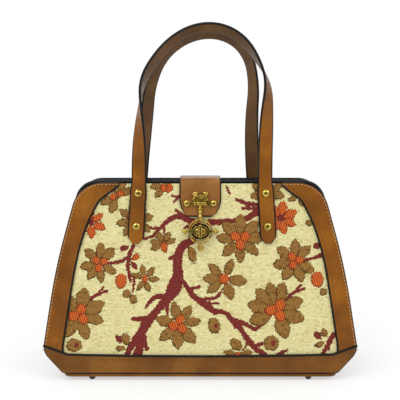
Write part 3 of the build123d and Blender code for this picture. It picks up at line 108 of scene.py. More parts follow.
# Branches: runs of across, up, width.
BRANCHES = (
    ((-0.046, 0.694, 0.038), (-0.111, 0.664, 0.046), (-0.139, 0.618, 0.048), (-0.146, 0.560, 0.050),
     (-0.142, 0.510, 0.056), (-0.165, 0.447, 0.076), (-0.213, 0.382, 0.050), (-0.278, 0.324, 0.040),
     (-0.333, 0.263, 0.046), (-0.384, 0.202, 0.046), (-0.435, 0.141, 0.036), (-0.463, 0.102, 0.028)),
    ((-0.150, 0.612, 0.030), (-0.197, 0.597, 0.018)),
    ((-0.122, 0.490, 0.030), (-0.088, 0.452, 0.026), (-0.048, 0.405, 0.030), (0.000, 0.376, 0.038),
     (0.045, 0.352, 0.040), (0.083, 0.324, 0.034), (0.157, 0.313, 0.026), (0.208, 0.271, 0.034),
     (0.259, 0.225, 0.028), (0.306, 0.171, 0.032), (0.352, 0.129, 0.032), (0.410, 0.100, 0.026)),
    ((0.000, 0.383, 0.024), (0.083, 0.390, 0.018), (0.122, 0.410, 0.016), (0.142, 0.440, 0.012)),
    ((-0.055, 0.440, 0.020), (-0.005, 0.450, 0.016)),
    ((0.222, 0.274, 0.026), (0.287, 0.255, 0.024), (0.347, 0.230, 0.022), (0.392, 0.252, 0.014)),
    ((0.212, 0.268, 0.018), (0.220, 0.232, 0.010)),
    ((0.340, 0.142, 0.022), (0.398, 0.153, 0.018)),
    ((0.490, 0.098, 0.018), (0.546, 0.118, 0.018)),
    ((0.046, 0.362, 0.014), (0.120, 0.362, 0.010)),
    ((0.287, 0.185, 0.012), (0.290, 0.145, 0.010), (0.255, 0.108, 0.010)),
    ((-0.200, 0.400, 0.034), (-0.278, 0.397, 0.026), (-0.319, 0.374, 0.022), (-0.345, 0.343, 0.014)),
    ((-0.340, 0.285, 0.030), (-0.390, 0.283, 0.024), (-0.430, 0.281, 0.018)),
    ((-0.355, 0.275, 0.022), (-0.378, 0.250, 0.014)),
    ((-0.212, 0.350, 0.026), (-0.208, 0.301, 0.012)),
    ((-0.361, 0.190, 0.036), (-0.384, 0.135, 0.044), (-0.394, 0.100, 0.050)),
    ((-0.356, 0.185, 0.026), (-0.340, 0.128, 0.024)),
    ((-0.020, 0.785, 0.040), (-0.075, 0.800, 0.034), (-0.130, 0.820, 0.034), (-0.185, 0.809, 0.028),
     (-0.231, 0.778, 0.024), (-0.262, 0.757, 0.020), (-0.325, 0.757, 0.016)),
    ((-0.105, 0.822, 0.024), (-0.155, 0.852, 0.014)),
    ((-0.232, 0.780, 0.018), (-0.231, 0.735, 0.014)),
    ((-0.258, 0.755, 0.020), (-0.310, 0.714, 0.018), (-0.360, 0.703, 0.014)),
    ((-0.060, 0.765, 0.026), (-0.100, 0.762, 0.014)),
    ((-0.110, 0.955, 0.016), (-0.135, 0.925, 0.018), (-0.182, 0.930, 0.012)),
    ((-0.130, 0.925, 0.016), (-0.172, 0.895, 0.012)),
    ((0.060, 0.790, 0.036), (0.110, 0.790, 0.034), (0.222, 0.797, 0.028), (0.296, 0.809, 0.034),
     (0.370, 0.840, 0.040), (0.514, 0.812, 0.040)),
    ((0.380, 0.880, 0.024), (0.305, 0.886, 0.026), (0.231, 0.908, 0.016)),
    ((0.380, 0.862, 0.020), (0.269, 0.862, 0.016)),
    ((0.165, 0.978, 0.012), (0.190, 0.940, 0.016)),
    ((-0.425, 0.665, 0.022), (-0.450, 0.620, 0.024), (-0.460, 0.570, 0.022), (-0.455, 0.530, 0.020),
     (-0.445, 0.480, 0.018)),
    ((-0.450, 0.612, 0.022), (-0.500, 0.585, 0.020), (-0.585, 0.572, 0.018)),
    ((-0.455, 0.520, 0.018), (-0.420, 0.490, 0.016), (-0.430, 0.420, 0.012)),
    ((-0.704, 0.382, 0.020), (-0.648, 0.412, 0.018), (-0.593, 0.428, 0.014)),
    ((-0.655, 0.410, 0.014), (-0.616, 0.447, 0.012)),
    ((0.546, 0.385, 0.020), (0.593, 0.420, 0.018), (0.662, 0.440, 0.014)),
    ((0.600, 0.425, 0.014), (0.639, 0.458, 0.012)),
    ((0.657, 0.587, 0.022), (0.713, 0.599, 0.020), (0.775, 0.616, 0.022)),
    ((0.845, 0.200, 0.028), (0.815, 0.156, 0.026), (0.778, 0.104, 0.022)),
    ((0.815, 0.158, 0.016), (0.815, 0.120, 0.010)),
)
# A petal starts at this share of its reach from the middle of its blossom.
PETAL_START = 0.12
# Quads of a tapestry face across and up, and the width in metres over which its figure rises.
WEAVE_GRID = (300, 184)
FIGURE_SLOPE = 0.0009
# Inner edge of a side trim's curve, as shares of half the top width across and of the panel height up.
TRIM_CURVE = ((0.868, 0.858), (0.819, 0.909), (0.731, 0.951), (0.646, 1.0))
# The base band's seam turns up at this share of half the hip width.
SEAM_KNEE = 0.84
# Handles: name, shift to their own right and sway of their top in metres, how far they are drawn in (shares
# of their width over shares of their height), and, for the left and the right leg, the share of the height by
# which the strap has turned and how late it starts to.
HANDLES = (
    ("front", 0.002, 0.008,
     ((0.0, 0.0), (0.35, 0.0), (0.65, 0.0), (0.81, 0.05), (0.9, 0.065), (1.0, 0.07)),
     ((0.85, 1.0), (1.0, 1.45))),
    ("back", 0.004, -0.015,
     ((0.0, 0.0), (0.18, 0.035), (0.36, 0.065), (0.53, 0.083), (0.70, 0.075), (0.85, 0.035), (1.0, 0.0)),
     ((0.8, 1.0), (0.92, 1.0))),
)
# Drops of the handle rivets under a panel's top edge, and the slope at which the tabs lean apart.
RIVET_DROPS = (0.013, 0.051)
SPLAY = math.tan(math.radians(3.0))
# Profiles of the clasp's turned pieces, as radius and height: the first three in shares, the others in metres.
HORN = ((0.80, 0.0), (0.78, 0.30), (0.9, 0.45), (1.05, 0.60), (1.05, 0.80), (0.8, 0.95), (0.02, 1.0))
STEM = ((0.5, 0.11), (0.55, 0.20), (1.0, 0.28), (1.0, 0.36), (0.62, 0.43), (0.85, 0.51), (0.6, 0.58),
        (0.7, 0.70), (0.95, 0.81), (0.66, 0.90), (0.5, 0.98))
FINIAL = ((0.46, 0.0), (0.46, 0.2), (0.9, 0.32), (1.0, 0.5), (0.72, 0.68), (0.62, 0.82), (0.4, 0.95), (0.02, 1.0))
EAR = ((0.0011, 0.0), (0.0021, 0.0), (0.0024, 0.0003), (0.0024, 0.0029), (0.0021, 0.0032), (0.0011, 0.0032))
BARREL = ((0.00105, -0.004), (0.0021, -0.004), (0.0024, -0.0037), (0.0024, -0.0012), (0.0021, -0.0008),
          (0.0021, 0.0008), (0.0024, 0.0012), (0.0024, 0.0037), (0.0021, 0.004), (0.00105, 0.004))
SPINDLE = ((0, -0.0004), (0.0016, -0.0004), (0.0016, 0.0002), (0, 0.0002))
# Spaces between pieces, as in the CAD, and the pitch of the sections along piping and bindings, in metres.
SEAT_SPACE = 0.00005
RIVET_SPACE = 0.00002
SEAM_SPACE = 0.0003
SECTION_PITCH = 0.004
# Margins of the pale and the brown stitching from the edge of the leather, in metres.
EDGE_MARGIN = 0.0026
SEAM_MARGIN = 0.0045
# Radius and height of the small rivets of the flap and the clasp, in metres.
SMALL_RIVET = (0.0042, 0.0026)
# Lamps of the stage: name, place, width in metres and power in watts.
LAMPS = (
    ("key", (-0.9, -1.2, 1.7), 1.2, 14.0),
    ("fill", (1.2, -1.0, 1.5), 1.0, 7.0),
)
# Camera: its place in metres, how far it looks down in degrees, and its lens in millimetres.
CAMERA_PLACE = (-0.0003, -0.7663, 0.2788)
CAMERA_DIP = 5.8
CAMERA_LENS = 57.9


def linear(hex_colour):
    """Linear colour of an sRGB hex colour."""
    shares = [int(hex_colour[start:start + 2], 16) / 255 for start in (1, 3, 5)]
    return tuple(c / 12.92 if c <= 0.04045 else ((c + 0.055) / 1.055) ** 2.4 for c in shares)


def length(name, description, default):
    """Length that a user can change."""
    return FloatProperty(name=name, description=description, default=default, min=0.0, unit="LENGTH", precision=5)


def turn(name, description, degrees):
    """Angle that a user can change."""
    return FloatProperty(name=name, description=description, default=math.radians(degrees), subtype="ANGLE")


def tint(name, description, hex_colour):
    """Colour that a user can change."""
    return FloatVectorProperty(name=name, description=description, default=linear(hex_colour), subtype="COLOR",
                               size=3, min=0.0, max=1.0)


class CarpetBagSizes(PropertyGroup):
    """Sizes of the bag's pieces"""

    panel_height: length("Panel height", "Slope length of a panel from the sole to the mouth", 0.218)
    panel_lift: length("Panel lift", "Height of a panel's lower edge over the ground", 0.0082)
    floor_width: length("Floor width", "Width of a panel at the sole", 0.312)
    hip_width: length("Hip width", "Widest width of a panel, before its hips are rounded", 0.360)
    hip_height: length("Hip height", "Height of the widest place", 0.025)
    top_width: length("Top width", "Width of a panel at the mouth, before its corners are rounded", 0.280)
    top_corner: length("Top corner", "Radius of a panel's top corners", 0.036)
    hip_corner: length("Hip corner", "Radius of a panel's hips", 0.020)
    floor_corner: length("Floor corner", "Radius of a panel's lower corners", 0.008)
    side_bow: length("Side bow", "How far a panel's sides bow out", 0.0055)
    base_depth: length("Base depth", "Depth of the bag at the sole", 0.112)
    lean: turn("Lean", "How far the panels lean towards each other", 8.0)
    board: length("Board", "Thickness of a panel's board", 0.002)
    tapestry: length("Tapestry", "Thickness of the tapestry", 0.0012)
    figure: length("Figure relief", "Height of the woven figure over its ground", 0.00035)
    trim: length("Trim", "Thickness of the side trims", 0.0018)
    trim_low: length("Trim width low", "Width of a side trim at the base band", 0.0225)
    trim_high: length("Trim width high", "Width of a side trim below its curve", 0.0225)
    band: length("Base band", "Thickness of the base band", 0.0024)
    seam_middle: length("Seam middle", "Height of the base band's seam in the middle", 0.0195)
    seam_knee: length("Seam knee", "Height of the base band's seam where it turns up", 0.0215)
    seam_end: length("Seam end", "Height of the base band's seam at the ends", 0.032)
    edge_paint: length("Edge paint", "Width of the black line along a leather edge", 0.0012)
    strap_paint: length("Strap paint", "Width of the black line along the edges of straps and flap", 0.0016)
    piping: length("Piping", "Radius of the black piping along the inner edges of the leather", 0.0011)
    binding: length("Binding", "Radius of the rolled mouth binding", 0.0032)
    strap_width: length("Strap width", "Width of the handle straps", 0.017)
    strap_thickness: length("Strap thickness", "Thickness of the handle straps", 0.003)
    tab_width: length("Tab width", "Width of the riveted tabs", 0.0195)
    leg_height: length("Leg height", "Height of the straight part of a handle", 0.095)
    front_span: length("Front span", "Width of the front handle between its legs", 0.145)
    back_span: length("Back span", "Width of the rear handle between its legs", 0.139)
    front_rise: length("Front rise", "Height of the front handle's arch", 0.0794)
    back_rise: length("Back rise", "Height of the rear handle's arch", 0.0806)
    front_tilt: turn("Front tilt", "Turn of the front strap's flat side at the top of its arch", 33.0)
    back_tilt: turn("Back tilt", "Turn of the rear strap's flat side at the top of its arch", -38.0)
    flap_width: length("Flap width", "Width of the closure flap", 0.048)
    flap_tip: length("Flap tip", "Width of the flap at its front end", 0.031)
    flap_thickness: length("Flap thickness", "Thickness of the closure flap", 0.0022)
    clasp_drop: length("Clasp drop", "Distance from a panel's top edge down to the hinge", 0.0245)
    hinge_out: length("Hinge out", "Height of the hinge pin's axis over the panel's board", 0.0073)
    hasp_reach: length("Hasp reach", "Distance from the hinge to the middle of the hasp's ring", 0.032)
    hasp_ring: length("Hasp ring", "Radius of the middle of the hasp's ring wire", 0.0125)
    boss: length("Boss", "Height of the lock base's boss", 0.0071)
    rivet: length("Rivet", "Radius of the handle rivets", 0.005)
    rivet_height: length("Rivet height", "Height of the handle rivets", 0.0032)
    stitch: length("Stitch", "Length of one stitch", 0.0030)
    stitch_pitch: length("Stitch pitch", "Distance from one stitch to the next", 0.0042)
    thread: length("Thread", "Radius of the sewing thread", 0.00035)


class CarpetBagColours(PropertyGroup):
    """Colours of the bag's materials"""

    ground: tint("Ground", "Ground of the tapestry", "#d6cd92")
    petal: tint("Petals", "Brown weft of the petals", "#8f6934")
    orange: tint("Orange", "Orange weft of the blossom centres and buds", "#c8622a")
    burgundy: tint("Burgundy", "Burgundy weft of the branches", "#6e2723")
    leather: tint("Leather", "Tan leather", "#874f09")
    edge: tint("Edge paint", "Paint on the leather's cut edges", "#14100d")
    leathercloth: tint("Leathercloth", "Black leathercloth of the mouth", "#0f0f12")
    lining: tint("Lining", "Cloth of the lining", "#3a2c20")
    brass: tint("Brass", "Polished brass", "#c9ad55")
    thread: tint("Thread", "Sewing thread along the outer edges", "#d9b98a")
    floor: tint("Floor", "Ground and background", "#ffffff")


def sizes():
    """The bag's sizes as the user has set them."""
    return bpy.context.scene.carpet_bag_sizes


def colours():
    """The bag's colours as the user has set them."""
    return bpy.context.scene.carpet_bag_colours


# Shapes


def panel_matrix(back):
    """Frame of a panel: across, up its slope and out of its face."""
    s = sizes()
    side = -1 if back else 1
    across = Vector((side, 0, 0))
    up = Vector((0, side * math.sin(s.lean), math.cos(s.lean)))
    made = Matrix((across, up, across.cross(up))).transposed().to_4x4()
    made.translation = (0, -side * s.base_depth / 2, s.panel_lift)
    return made


def moved(place, x=0.0, y=0.0, z=0.0):
    """Frame moved within itself."""
    return place @ Matrix.Translation((x, y, z))


def seat_out():
    """Height over a panel's board of what lies on the woven figure."""
    s = sizes()
    return s.tapestry + s.figure + SEAT_SPACE


def mirrored(points):
    """The same points on the other side of a panel."""
    return [Vector((-p.x, p.y)) for p in points]


def heading(points, index):
    """Way from the point before to the point after one of a run."""
    return points[min(index + 1, len(points) - 1)] - points[max(index - 1, 0)]


def half_bow():
    """Half width of a panel at the middle of its bowed sides."""
    s = sizes()
    return (s.hip_width + s.top_width) / 4 + s.side_bow


def bow_v():
    """Height of the middle of the bowed sides."""
    s = sizes()
    return (s.hip_height + s.panel_height) / 2


def side_u(v):
    """Half width of a panel at the height v up its slope."""
    s = sizes()
    ups = (0, s.hip_height, bow_v(), s.panel_height)
    return float(np.interp(v, ups, (s.floor_width / 2, s.hip_width / 2, half_bow(), s.top_width / 2)))


def seam_v(u):
    """Height of the base band's seam."""
    s = sizes()
    knee = SEAM_KNEE * s.hip_width / 2
    if abs(u) < knee:
        return s.seam_middle + (s.seam_knee - s.seam_middle) * (u / knee) ** 2
    return s.seam_knee + (s.seam_end - s.seam_knee) * (abs(u) - knee) / (s.hip_width / 2 - knee)


def side_outline():
    """Right half of a panel's outline, from the middle of its floor to the middle of its mouth."""
    s = sizes()
    corners = [(0, 0), (s.floor_width / 2, 0), (s.hip_width / 2, s.hip_height), (half_bow(), bow_v()),
               (s.top_width / 2, s.panel_height), (0, s.panel_height)]
    return rounded(corners, (0, s.floor_corner, s.hip_corner, 0.7, s.top_corner, 0), closed=False, steps=10)


def split_outline(gap):
    """The right outline below the base band's seam, and above it by the gap."""
    outline = side_outline()
    for index, (a, b) in enumerate(zip(outline, outline[1:])):
        over_a = a.y - seam_v(a.x) - gap
        over_b = b.y - seam_v(b.x) - gap
        if over_a < 0 <= over_b:
            crossing = a.lerp(b, over_a / (over_a - over_b))
            below = [p for p in outline[:index + 1] if (p - crossing).length > 0.003]
            above = [p for p in outline[index + 1:] if (p - crossing).length > 0.003]
            return below + [crossing], [crossing] + above
    raise ValueError("the seam of the base band misses the panel's side")


def rounded(points, radii, closed=True, steps=8):
    """Outline with each corner rounded to its radius."""
    made = []
    for index, (corner, radius) in enumerate(zip(points, radii)):
        if radius == 0 or (not closed and index in (0, len(points) - 1)):
            made.append(Vector(corner))
            continue
        middle = Vector(corner)
        before = (Vector(points[index - 1]) - middle).normalized()
        after = (Vector(points[(index + 1) % len(points)]) - middle).normalized()
        half = before.angle(after) / 2
        inward = (before + after).normalized()
        centre = middle + inward * (radius / math.sin(half))
        run = radius / math.tan(half)
        first = middle + before * run - centre
        last = middle + after * run - centre
        for step in range(steps + 1):
            made.append(centre + first.slerp(last, step / steps).normalized() * radius)
    return made


def curved(points, steps=8):
    """Smooth run of points through the given ones."""
    spots = [Vector(p) for p in points]
    spots = [spots[0] * 2 - spots[1], *spots, spots[-1] * 2 - spots[-2]]
    made = []
    for a, b, c, d in zip(spots, spots[1:], spots[2:], spots[3:]):
        for step in range(steps):
            t = step / steps
            made.append((b * 2 + (c - a) * t + (a * 2 - b * 5 + c * 4 - d) * t ** 2
                         + (b * 3 - a - c * 3 + d) * t ** 3) / 2)
    made.append(spots[-2])
    return made


def even_run(points, pitch):
    """Places at an even pitch along a run of points, each with its direction."""
    runs = [(b - a).length for a, b in zip(points, points[1:])]
    count = max(int(sum(runs) / pitch), 1)
    step = sum(runs) / count
    made = []
    gone = 0.0
    wanted = step / 2
    for a, b, run in zip(points, points[1:], runs):
        while wanted < gone + run and run > 0:
            made.append((a.lerp(b, (wanted - gone) / run), (b - a).normalized()))
            wanted += step
        gone += run
    return made


def refined(points, pitch):
    """Run of points at an even pitch, with both of its ends."""
    return [points[0]] + [place for place, along in even_run(points, pitch)] + [points[-1]]


def beside(points, distance):
    """Run of points moved to its left by the distance."""
    made = []
    for index, point in enumerate(points):
        along = heading(points, index).normalized()
        made.append(point + Vector((-along.y, along.x)) * distance)
    return made


def take(target, shape, matrix, material=None):
    """Moves a finished shape into a piece."""
    bmesh.ops.transform(shape, matrix=matrix, verts=shape.verts)
    if material is not None:
        for face in shape.faces:
            face.material_index = material
    carrier = bpy.data.meshes.new("carrier")
    shape.to_mesh(carrier)
    shape.free()
    target.from_mesh(carrier)
    bpy.data.meshes.remove(carrier)


def turned(profile, steps=32, ring=False):
    """Solid turned round Z from a half profile of radius and height."""
    shape = bmesh.new()
    verts = [shape.verts.new((radius, 0, height)) for radius, height in profile]
    edges = [shape.edges.new(pair) for pair in zip(verts, verts[1:])]
    if ring:
        edges.append(shape.edges.new((verts[-1], verts[0])))
    bmesh.ops.spin(shape, geom=verts + edges, axis=(0, 0, 1), cent=(0, 0, 0), angle=math.tau, steps=steps,
                   use_merge=True)
    bmesh.ops.remove_doubles(shape, verts=shape.verts, dist=1e-6)
    bmesh.ops.recalc_face_normals(shape, faces=shape.faces)
    return shape


def slab(outline, thickness, rounding, segments=3):
    """Plate on an outline with its top edge rounded over; its sides and rounding take the second material."""
    shape = bmesh.new()
    low = shape.faces.new([shape.verts.new((x, y, 0)) for x, y in outline])
    lifted = bmesh.ops.extrude_face_region(shape, geom=[low])["geom"]
    verts = [g for g in lifted if isinstance(g, bmesh.types.BMVert)]
    bmesh.ops.translate(shape, verts=verts, vec=(0, 0, thickness))
    top = [g for g in lifted if isinstance(g, bmesh.types.BMFace)][0]
    bmesh.ops.bevel(shape, geom=list(top.edges), offset=rounding, offset_type="OFFSET", segments=segments,
                    profile=0.5, affect="EDGES", material=-1, clamp_overlap=False)
    bmesh.ops.recalc_face_normals(shape, faces=shape.faces)
    for face in shape.faces:
        face.material_index = 0 if face.normal.z > 0.99 else 1
    return shape


def swept(ring, frames, painted=None, lined=0):
    """Strip with one cross-section carried through a run of frames, with its edges painted and one side lined."""
    shape = bmesh.new()
    cap = shape.faces.new([shape.verts.new(frames[0] @ Vector((x, y, 0))) for x, y in ring])
    for before, after in zip(frames, frames[1:]):
        grown = bmesh.ops.extrude_face_region(shape, geom=[cap])["geom"]
        verts = [g for g in grown if isinstance(g, bmesh.types.BMVert)]
        cap = [g for g in grown if isinstance(g, bmesh.types.BMFace)][0]
        bmesh.ops.transform(shape, matrix=after @ before.inverted(), verts=verts)
        if painted is not None:
            inverse = after.inverted()
            for face in {face for vert in verts for face in vert.link_faces if face is not cap}:
                middle = inverse @ face.calc_center_median()
                face.material_index = 1 if abs(middle.x) > painted else lined if middle.y > 0 else 0
    bmesh.ops.recalc_face_normals(shape, faces=shape.faces)
    if painted is not None:
        for face in shape.faces:
            if len(face.verts) == len(ring):
                face.material_index = 1
    return shape


def placed(origin, wide, along, scale=1.0):
    """Frame of a cross-section, with the strip's width as its X and its run as its Z."""
    along = along.normalized()
    wide = (wide - along * wide.dot(along)).normalized()
    made = Matrix((wide, along.cross(wide), along)).transposed().to_4x4()
    made.translation = origin
    return made @ Matrix.Diagonal((scale, 1, 1, 1))


def strap_ring(width, thickness, paint):
    """Cross-section of a leather strip with rounded edges and a line where its edge paint ends."""
    half = width / 2
    flat = thickness / 2
    right = [(half - paint, flat), (half - 0.0007, flat * 0.94), (half - 0.0002, flat * 0.6), (half, 0),
             (half - 0.0002, -flat * 0.6), (half - 0.0007, -flat * 0.94), (half - paint, -flat)]
    left = [(-x, -y) for x, y in right]
    return right + [(0, -flat * 1.02)] + left + [(0, flat * 1.02)]


def round_ring(radius, count):
    """Round cross-section."""
    return [(radius * math.cos(a), radius * math.sin(a)) for a in np.linspace(0, math.tau, count + 1)[:-1]]


def run_frames(route, out, matrix):
    """Frames along a run of points at one height over a panel."""
    frames = []
    for index, place in enumerate(route):
        along = heading(route, index)
        here = placed(Vector((place.x, place.y, out)), Vector((0, 0, 1)), Vector((along.x, along.y, 0)))
        frames.append(matrix @ here)
    return frames


def piping(run, radius, out, matrix):
    """Thin round piping along a leather edge."""
    return swept(round_ring(radius, 8), run_frames(refined(run, SECTION_PITCH), out, matrix))


def make_piece(name, shape, materials, nodes=(), body="bag", level=True):
    """Turns a finished shape into a piece that rides on its body and stands for its CAD nodes."""
    for face in shape.faces:
        face.smooth = True
    mesh = bpy.data.meshes.new(name)
    shape.to_mesh(mesh)
    shape.free()
    mesh.set_sharp_from_angle(angle=math.radians(50))
    for material in materials:
        mesh.materials.append(material)
    piece = bpy.data.objects.new(name, mesh)
    bpy.context.scene.collection.objects.link(piece)
    if level:
        # Broad faces keep their own normals beside rounded edges.
        weighted = piece.modifiers.new("Level faces", "WEIGHTED_NORMAL")
        weighted.keep_sharp = True
    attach(piece, body)
    if nodes:
        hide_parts(*nodes)
    return piece


def dress(material, slot, *nodes):
    """Gives CAD nodes that stay in the picture their material."""
    for name in nodes:
        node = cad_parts[name]
        node.data.materials.clear()
        node.data.materials.append(material)


# Materials


def add(tree, kind, inputs=None, out=0, **settings):
    """Adds one shader node with its settings, fills its inputs with values or links, and gives back one output."""
    made = tree.nodes.new("ShaderNode" + kind)
    for name, value in settings.items():
        setattr(made, name, value)
    for name, value in (inputs or {}).items():
        socket = made.inputs[name]
        if isinstance(value, bpy.types.NodeSocket):
            tree.links.new(value, socket)
        else:
            socket.default_value = (*value, 1) if socket.type == "RGBA" else value
    return made.outputs[out] if made.outputs else made


def coated(tree, under, over, value, low, high, share=1.0):
    """Lays one colour over another, more and more as a value goes from low to high."""
    amount = add(tree, "MapRange", {0: value, 1: low, 2: high, 4: share})
    return add(tree, "Mix", {0: amount, 6: under, 7: over}, out=2, data_type="RGBA")


def layered(tree, colour, *coats):
    """Lays several coats over a colour, each a hex colour with its value, low, high and share."""
    for over, *amount in coats:
        colour = coated(tree, colour, linear(over), *amount)
    return colour


def waves(tree, along, pitch):
    """Even waves of one pitch along a coordinate."""
    turns = add(tree, "Math", {0: along, 1: math.tau / pitch}, operation="MULTIPLY")
    return add(tree, "Math", {0: turns}, operation="SINE")


def finished(tree, colour, height, strength, depth, more):
    """Ends a material in one surface with a colour, a fine relief of some depth and its other inputs."""
    bump = add(tree, "Bump", {"Strength": strength, "Distance": depth, "Height": height})
    shader = add(tree, "BsdfPrincipled", {"Base Color": colour, "Normal": bump, **more})
    add(tree, "OutputMaterial", {0: shader})


def new_material(name):
    """Material with an empty tree, or an earlier one of that name without its tree."""
    existing = bpy.data.materials.get(name)
    if existing:
        return existing, None
    made = bpy.data.materials.new(name)
    made.use_nodes = True
    made.node_tree.nodes.clear()
    return made, made.node_tree


def tapestry_material():
    """Woven wool and cotton: dull ribbed cream ground with brown, orange and burgundy weft figures."""
    made, tree = new_material("Cream figured tapestry")
    if tree is None:
        return made
    c = colours()
    uv = add(tree, "UVMap", uv_map="Weave")
    across = add(tree, "SeparateXYZ", {0: uv}, out=0)
    up = add(tree, "SeparateXYZ", {0: uv}, out=1)
    fields = {}
    for name in ("petal", "orange", "branch", "eye", "petal_rim", "orange_rim", "vein", "shade"):
        fields[name] = add(tree, "Attribute", out="Fac", attribute_name=name)
    # Weft threads end one by one, so the figure's edges step in and out by about half a millimetre.
    cell = add(tree, "VectorMath", {0: uv, 1: (0.0024, 0.0012, 1.0)}, operation="SNAP")
    ragged = add(tree, "TexWhiteNoise", {"Vector": cell}, noise_dimensions="2D")
    ragged = add(tree, "Math", {0: ragged, 1: 0.0016, 2: -0.0008}, operation="MULTIPLY_ADD")
    # Single dark wefts that show through the ground here and there.
    cell = add(tree, "VectorMath", {0: uv, 1: (0.0031, 0.0013, 1.0)}, operation="SNAP")
    fleck = add(tree, "TexWhiteNoise", {"Vector": cell}, noise_dimensions="2D")
    # Ribs of the warp, drawn at 1.7 mm where the real ones are about 1 mm and too fine for the picture.
    warp = waves(tree, across, pitch=0.0017)
    weft = waves(tree, up, pitch=0.0012)
    # Slubs: short flecks of grey and of pale yarn along the weft.
    stretched = add(tree, "Mapping", {"Vector": uv, "Scale": (420.0, 900.0, 1.0)})
    slub = add(tree, "TexNoise", {"Vector": stretched, "Scale": 1.0, "Detail": 2.0})
    broad = add(tree, "TexNoise", {"Vector": uv, "Scale": 45.0, "Detail": 3.0})
    ground = layered(tree, c.ground,
                     ("#a99d6c", slub, 0.54, 0.72, 0.6),
                     ("#f0e8c2", slub, 0.46, 0.32, 0.6),
                     ("#a3975f", warp, 0.2, 1.0, 0.14),
                     ("#c9b877", broad, 0.45, 0.7, 0.35),
                     ("#8a7c48", fleck, 0.82, 0.96, 0.4),
                     ("#efe7c2", fleck, 0.2, 0.05, 0.4))
    # Hatch of dark and pale threads in the petals and the orange weft, a little aslant.
    thread = add(tree, "Math", {0: broad, 1: 0.004, 2: across}, operation="MULTIPLY_ADD")
    thread = add(tree, "Math", {0: up, 1: 0.3, 2: thread}, operation="MULTIPLY_ADD")
    thread = waves(tree, thread, pitch=0.0026)
    petal = layered(tree, c.petal,
                    ("#7a5526", slub, 0.42, 0.65, 0.8),
                    ("#b18a4e", thread, -0.45, -0.95, 0.5),
                    ("#5a3b18", thread, 0.35, 0.95, 0.4),
                    ("#4d3214", fleck, 0.75, 0.95, 0.6),
                    ("#46300f", fields["vein"], 0.26, 0.0, 0.75))
    red = layered(tree, c.orange,
                  ("#b04a1c", slub, 0.42, 0.6, 0.8),
                  ("#dc8040", thread, -0.5, -0.95, 0.45),
                  ("#7f2a17", thread, 0.2, 0.8, 0.75))
    wine = layered(tree, c.burgundy,
                   ("#8c453b", slub, 0.46, 0.66, 0.8),
                   ("#471417", warp, 0.1, 1.0, 0.4))
    shown = ground
    for name, coat, outline in (("branch", wine, None), ("petal", petal, "#3a240d"), ("orange", red, "#5f1d14"),
                                ("eye", wine, None)):
        edge = add(tree, "Math", {0: fields[name], 1: ragged}, operation="ADD")
        if outline:
            # The dark outline is broad on the lower left of every petal and thin on its upper right; the extra
            # width on the lower left is painted shade of the raised figure.
            rim = add(tree, "Math", {0: fields[name + "_rim"], 1: ragged}, operation="ADD")
            rim = add(tree, "Math", {0: fields["shade"], 1: -0.0009, 2: rim}, operation="MULTIPLY_ADD")
            coat = coated(tree, coat, linear(outline), rim, 0.0013, 0.0004, 0.85)
        shown = coated(tree, shown, coat, edge, -0.00012, 0.00012)
    height = add(tree, "Math", {0: weft, 1: 0.7, 2: warp}, operation="MULTIPLY_ADD")
    height = add(tree, "Math", {0: slub, 1: 3.2, 2: height}, operation="MULTIPLY_ADD")
    finished(tree, shown, height, strength=0.5, depth=0.00015,
             more={"Roughness": 0.9, "Specular IOR Level": 0.1})
    return made


def leather_material(name, main, deep, glow, painted_top_shade=None):
    """Glazed tan leather: warm mottled brown with fine pores and a soft broad highlight."""
    made, tree = new_material(name)
    if tree is None:
        return made
    where = add(tree, "TexCoord", out="Object")
    cloud = add(tree, "TexNoise", {"Vector": where, "Scale": 28.0, "Detail": 4.0})
    streak = add(tree, "TexNoise", {"Vector": where, "Scale": 160.0, "Detail": 3.0})
    # Pores of the grain, drawn at about 1 mm.
    pores = add(tree, "TexVoronoi", {"Vector": where, "Scale": 950.0})
    skin = coated(tree, main, deep, cloud, 0.4, 0.72)
    skin = coated(tree, skin, glow, cloud, 0.48, 0.25, 0.7)
    skin = coated(tree, skin, deep, streak, 0.52, 0.72, 0.35)
    if painted_top_shade:
        # Painted shade: the leather is darkened towards the top of the handles.
        height = add(tree, "SeparateXYZ", {0: where}, out=2)
        skin = coated(tree, skin, painted_top_shade, height, 0.27, 0.37, 0.9)
    rough = add(tree, "MapRange", {0: streak, 1: 0.3, 2: 0.7, 3: 0.3, 4: 0.44})
    height = add(tree, "Math", {0: streak, 1: 1.5, 2: pores}, operation="MULTIPLY_ADD")
    finished(tree, skin, height, strength=0.25, depth=0.0003,
             more={"Roughness": rough, "Specular IOR Level": 0.24})
    return made


def tan_leather():
    """Tan leather of the trims: a warm orange brown."""
    return leather_material("Tan leather", colours().leather, linear("#6b3d06"), linear("#97600f"))


def base_leather():
    """Leather of the base bands, the sole and the gussets: the same tan, made darker and browner as painted shade.
    """
    return leather_material("Tan leather darkened as painted shade", linear("#784a12"), linear("#5f390b"), linear("#885a1c"))


def flap_leather():
    """Leather of the flap: the same tan, made paler all over as painted sheen."""
    return leather_material("Tan flap leather paler as painted sheen", linear("#93622d"), linear("#7c4c1c"), linear("#a87c48"))


def handle_leather():
    """Leather of the handles: tan at the tabs, dark brown towards the top of the arches as painted shade."""
    return leather_material("Tan handle leather with painted top shade", colours().leather, linear("#6b3d06"), linear("#97600f"),
                            linear("#57391b"))


def shaded_strap_lining():
    """Inner side of the straps: dull dark brown lining leather, darker than the grain side as painted shade of the
    arch's underside.
    """
    return leather_material("Strap lining darkened as painted shade", linear("#604323"), linear("#4d341a"), linear("#6d4f2c"))


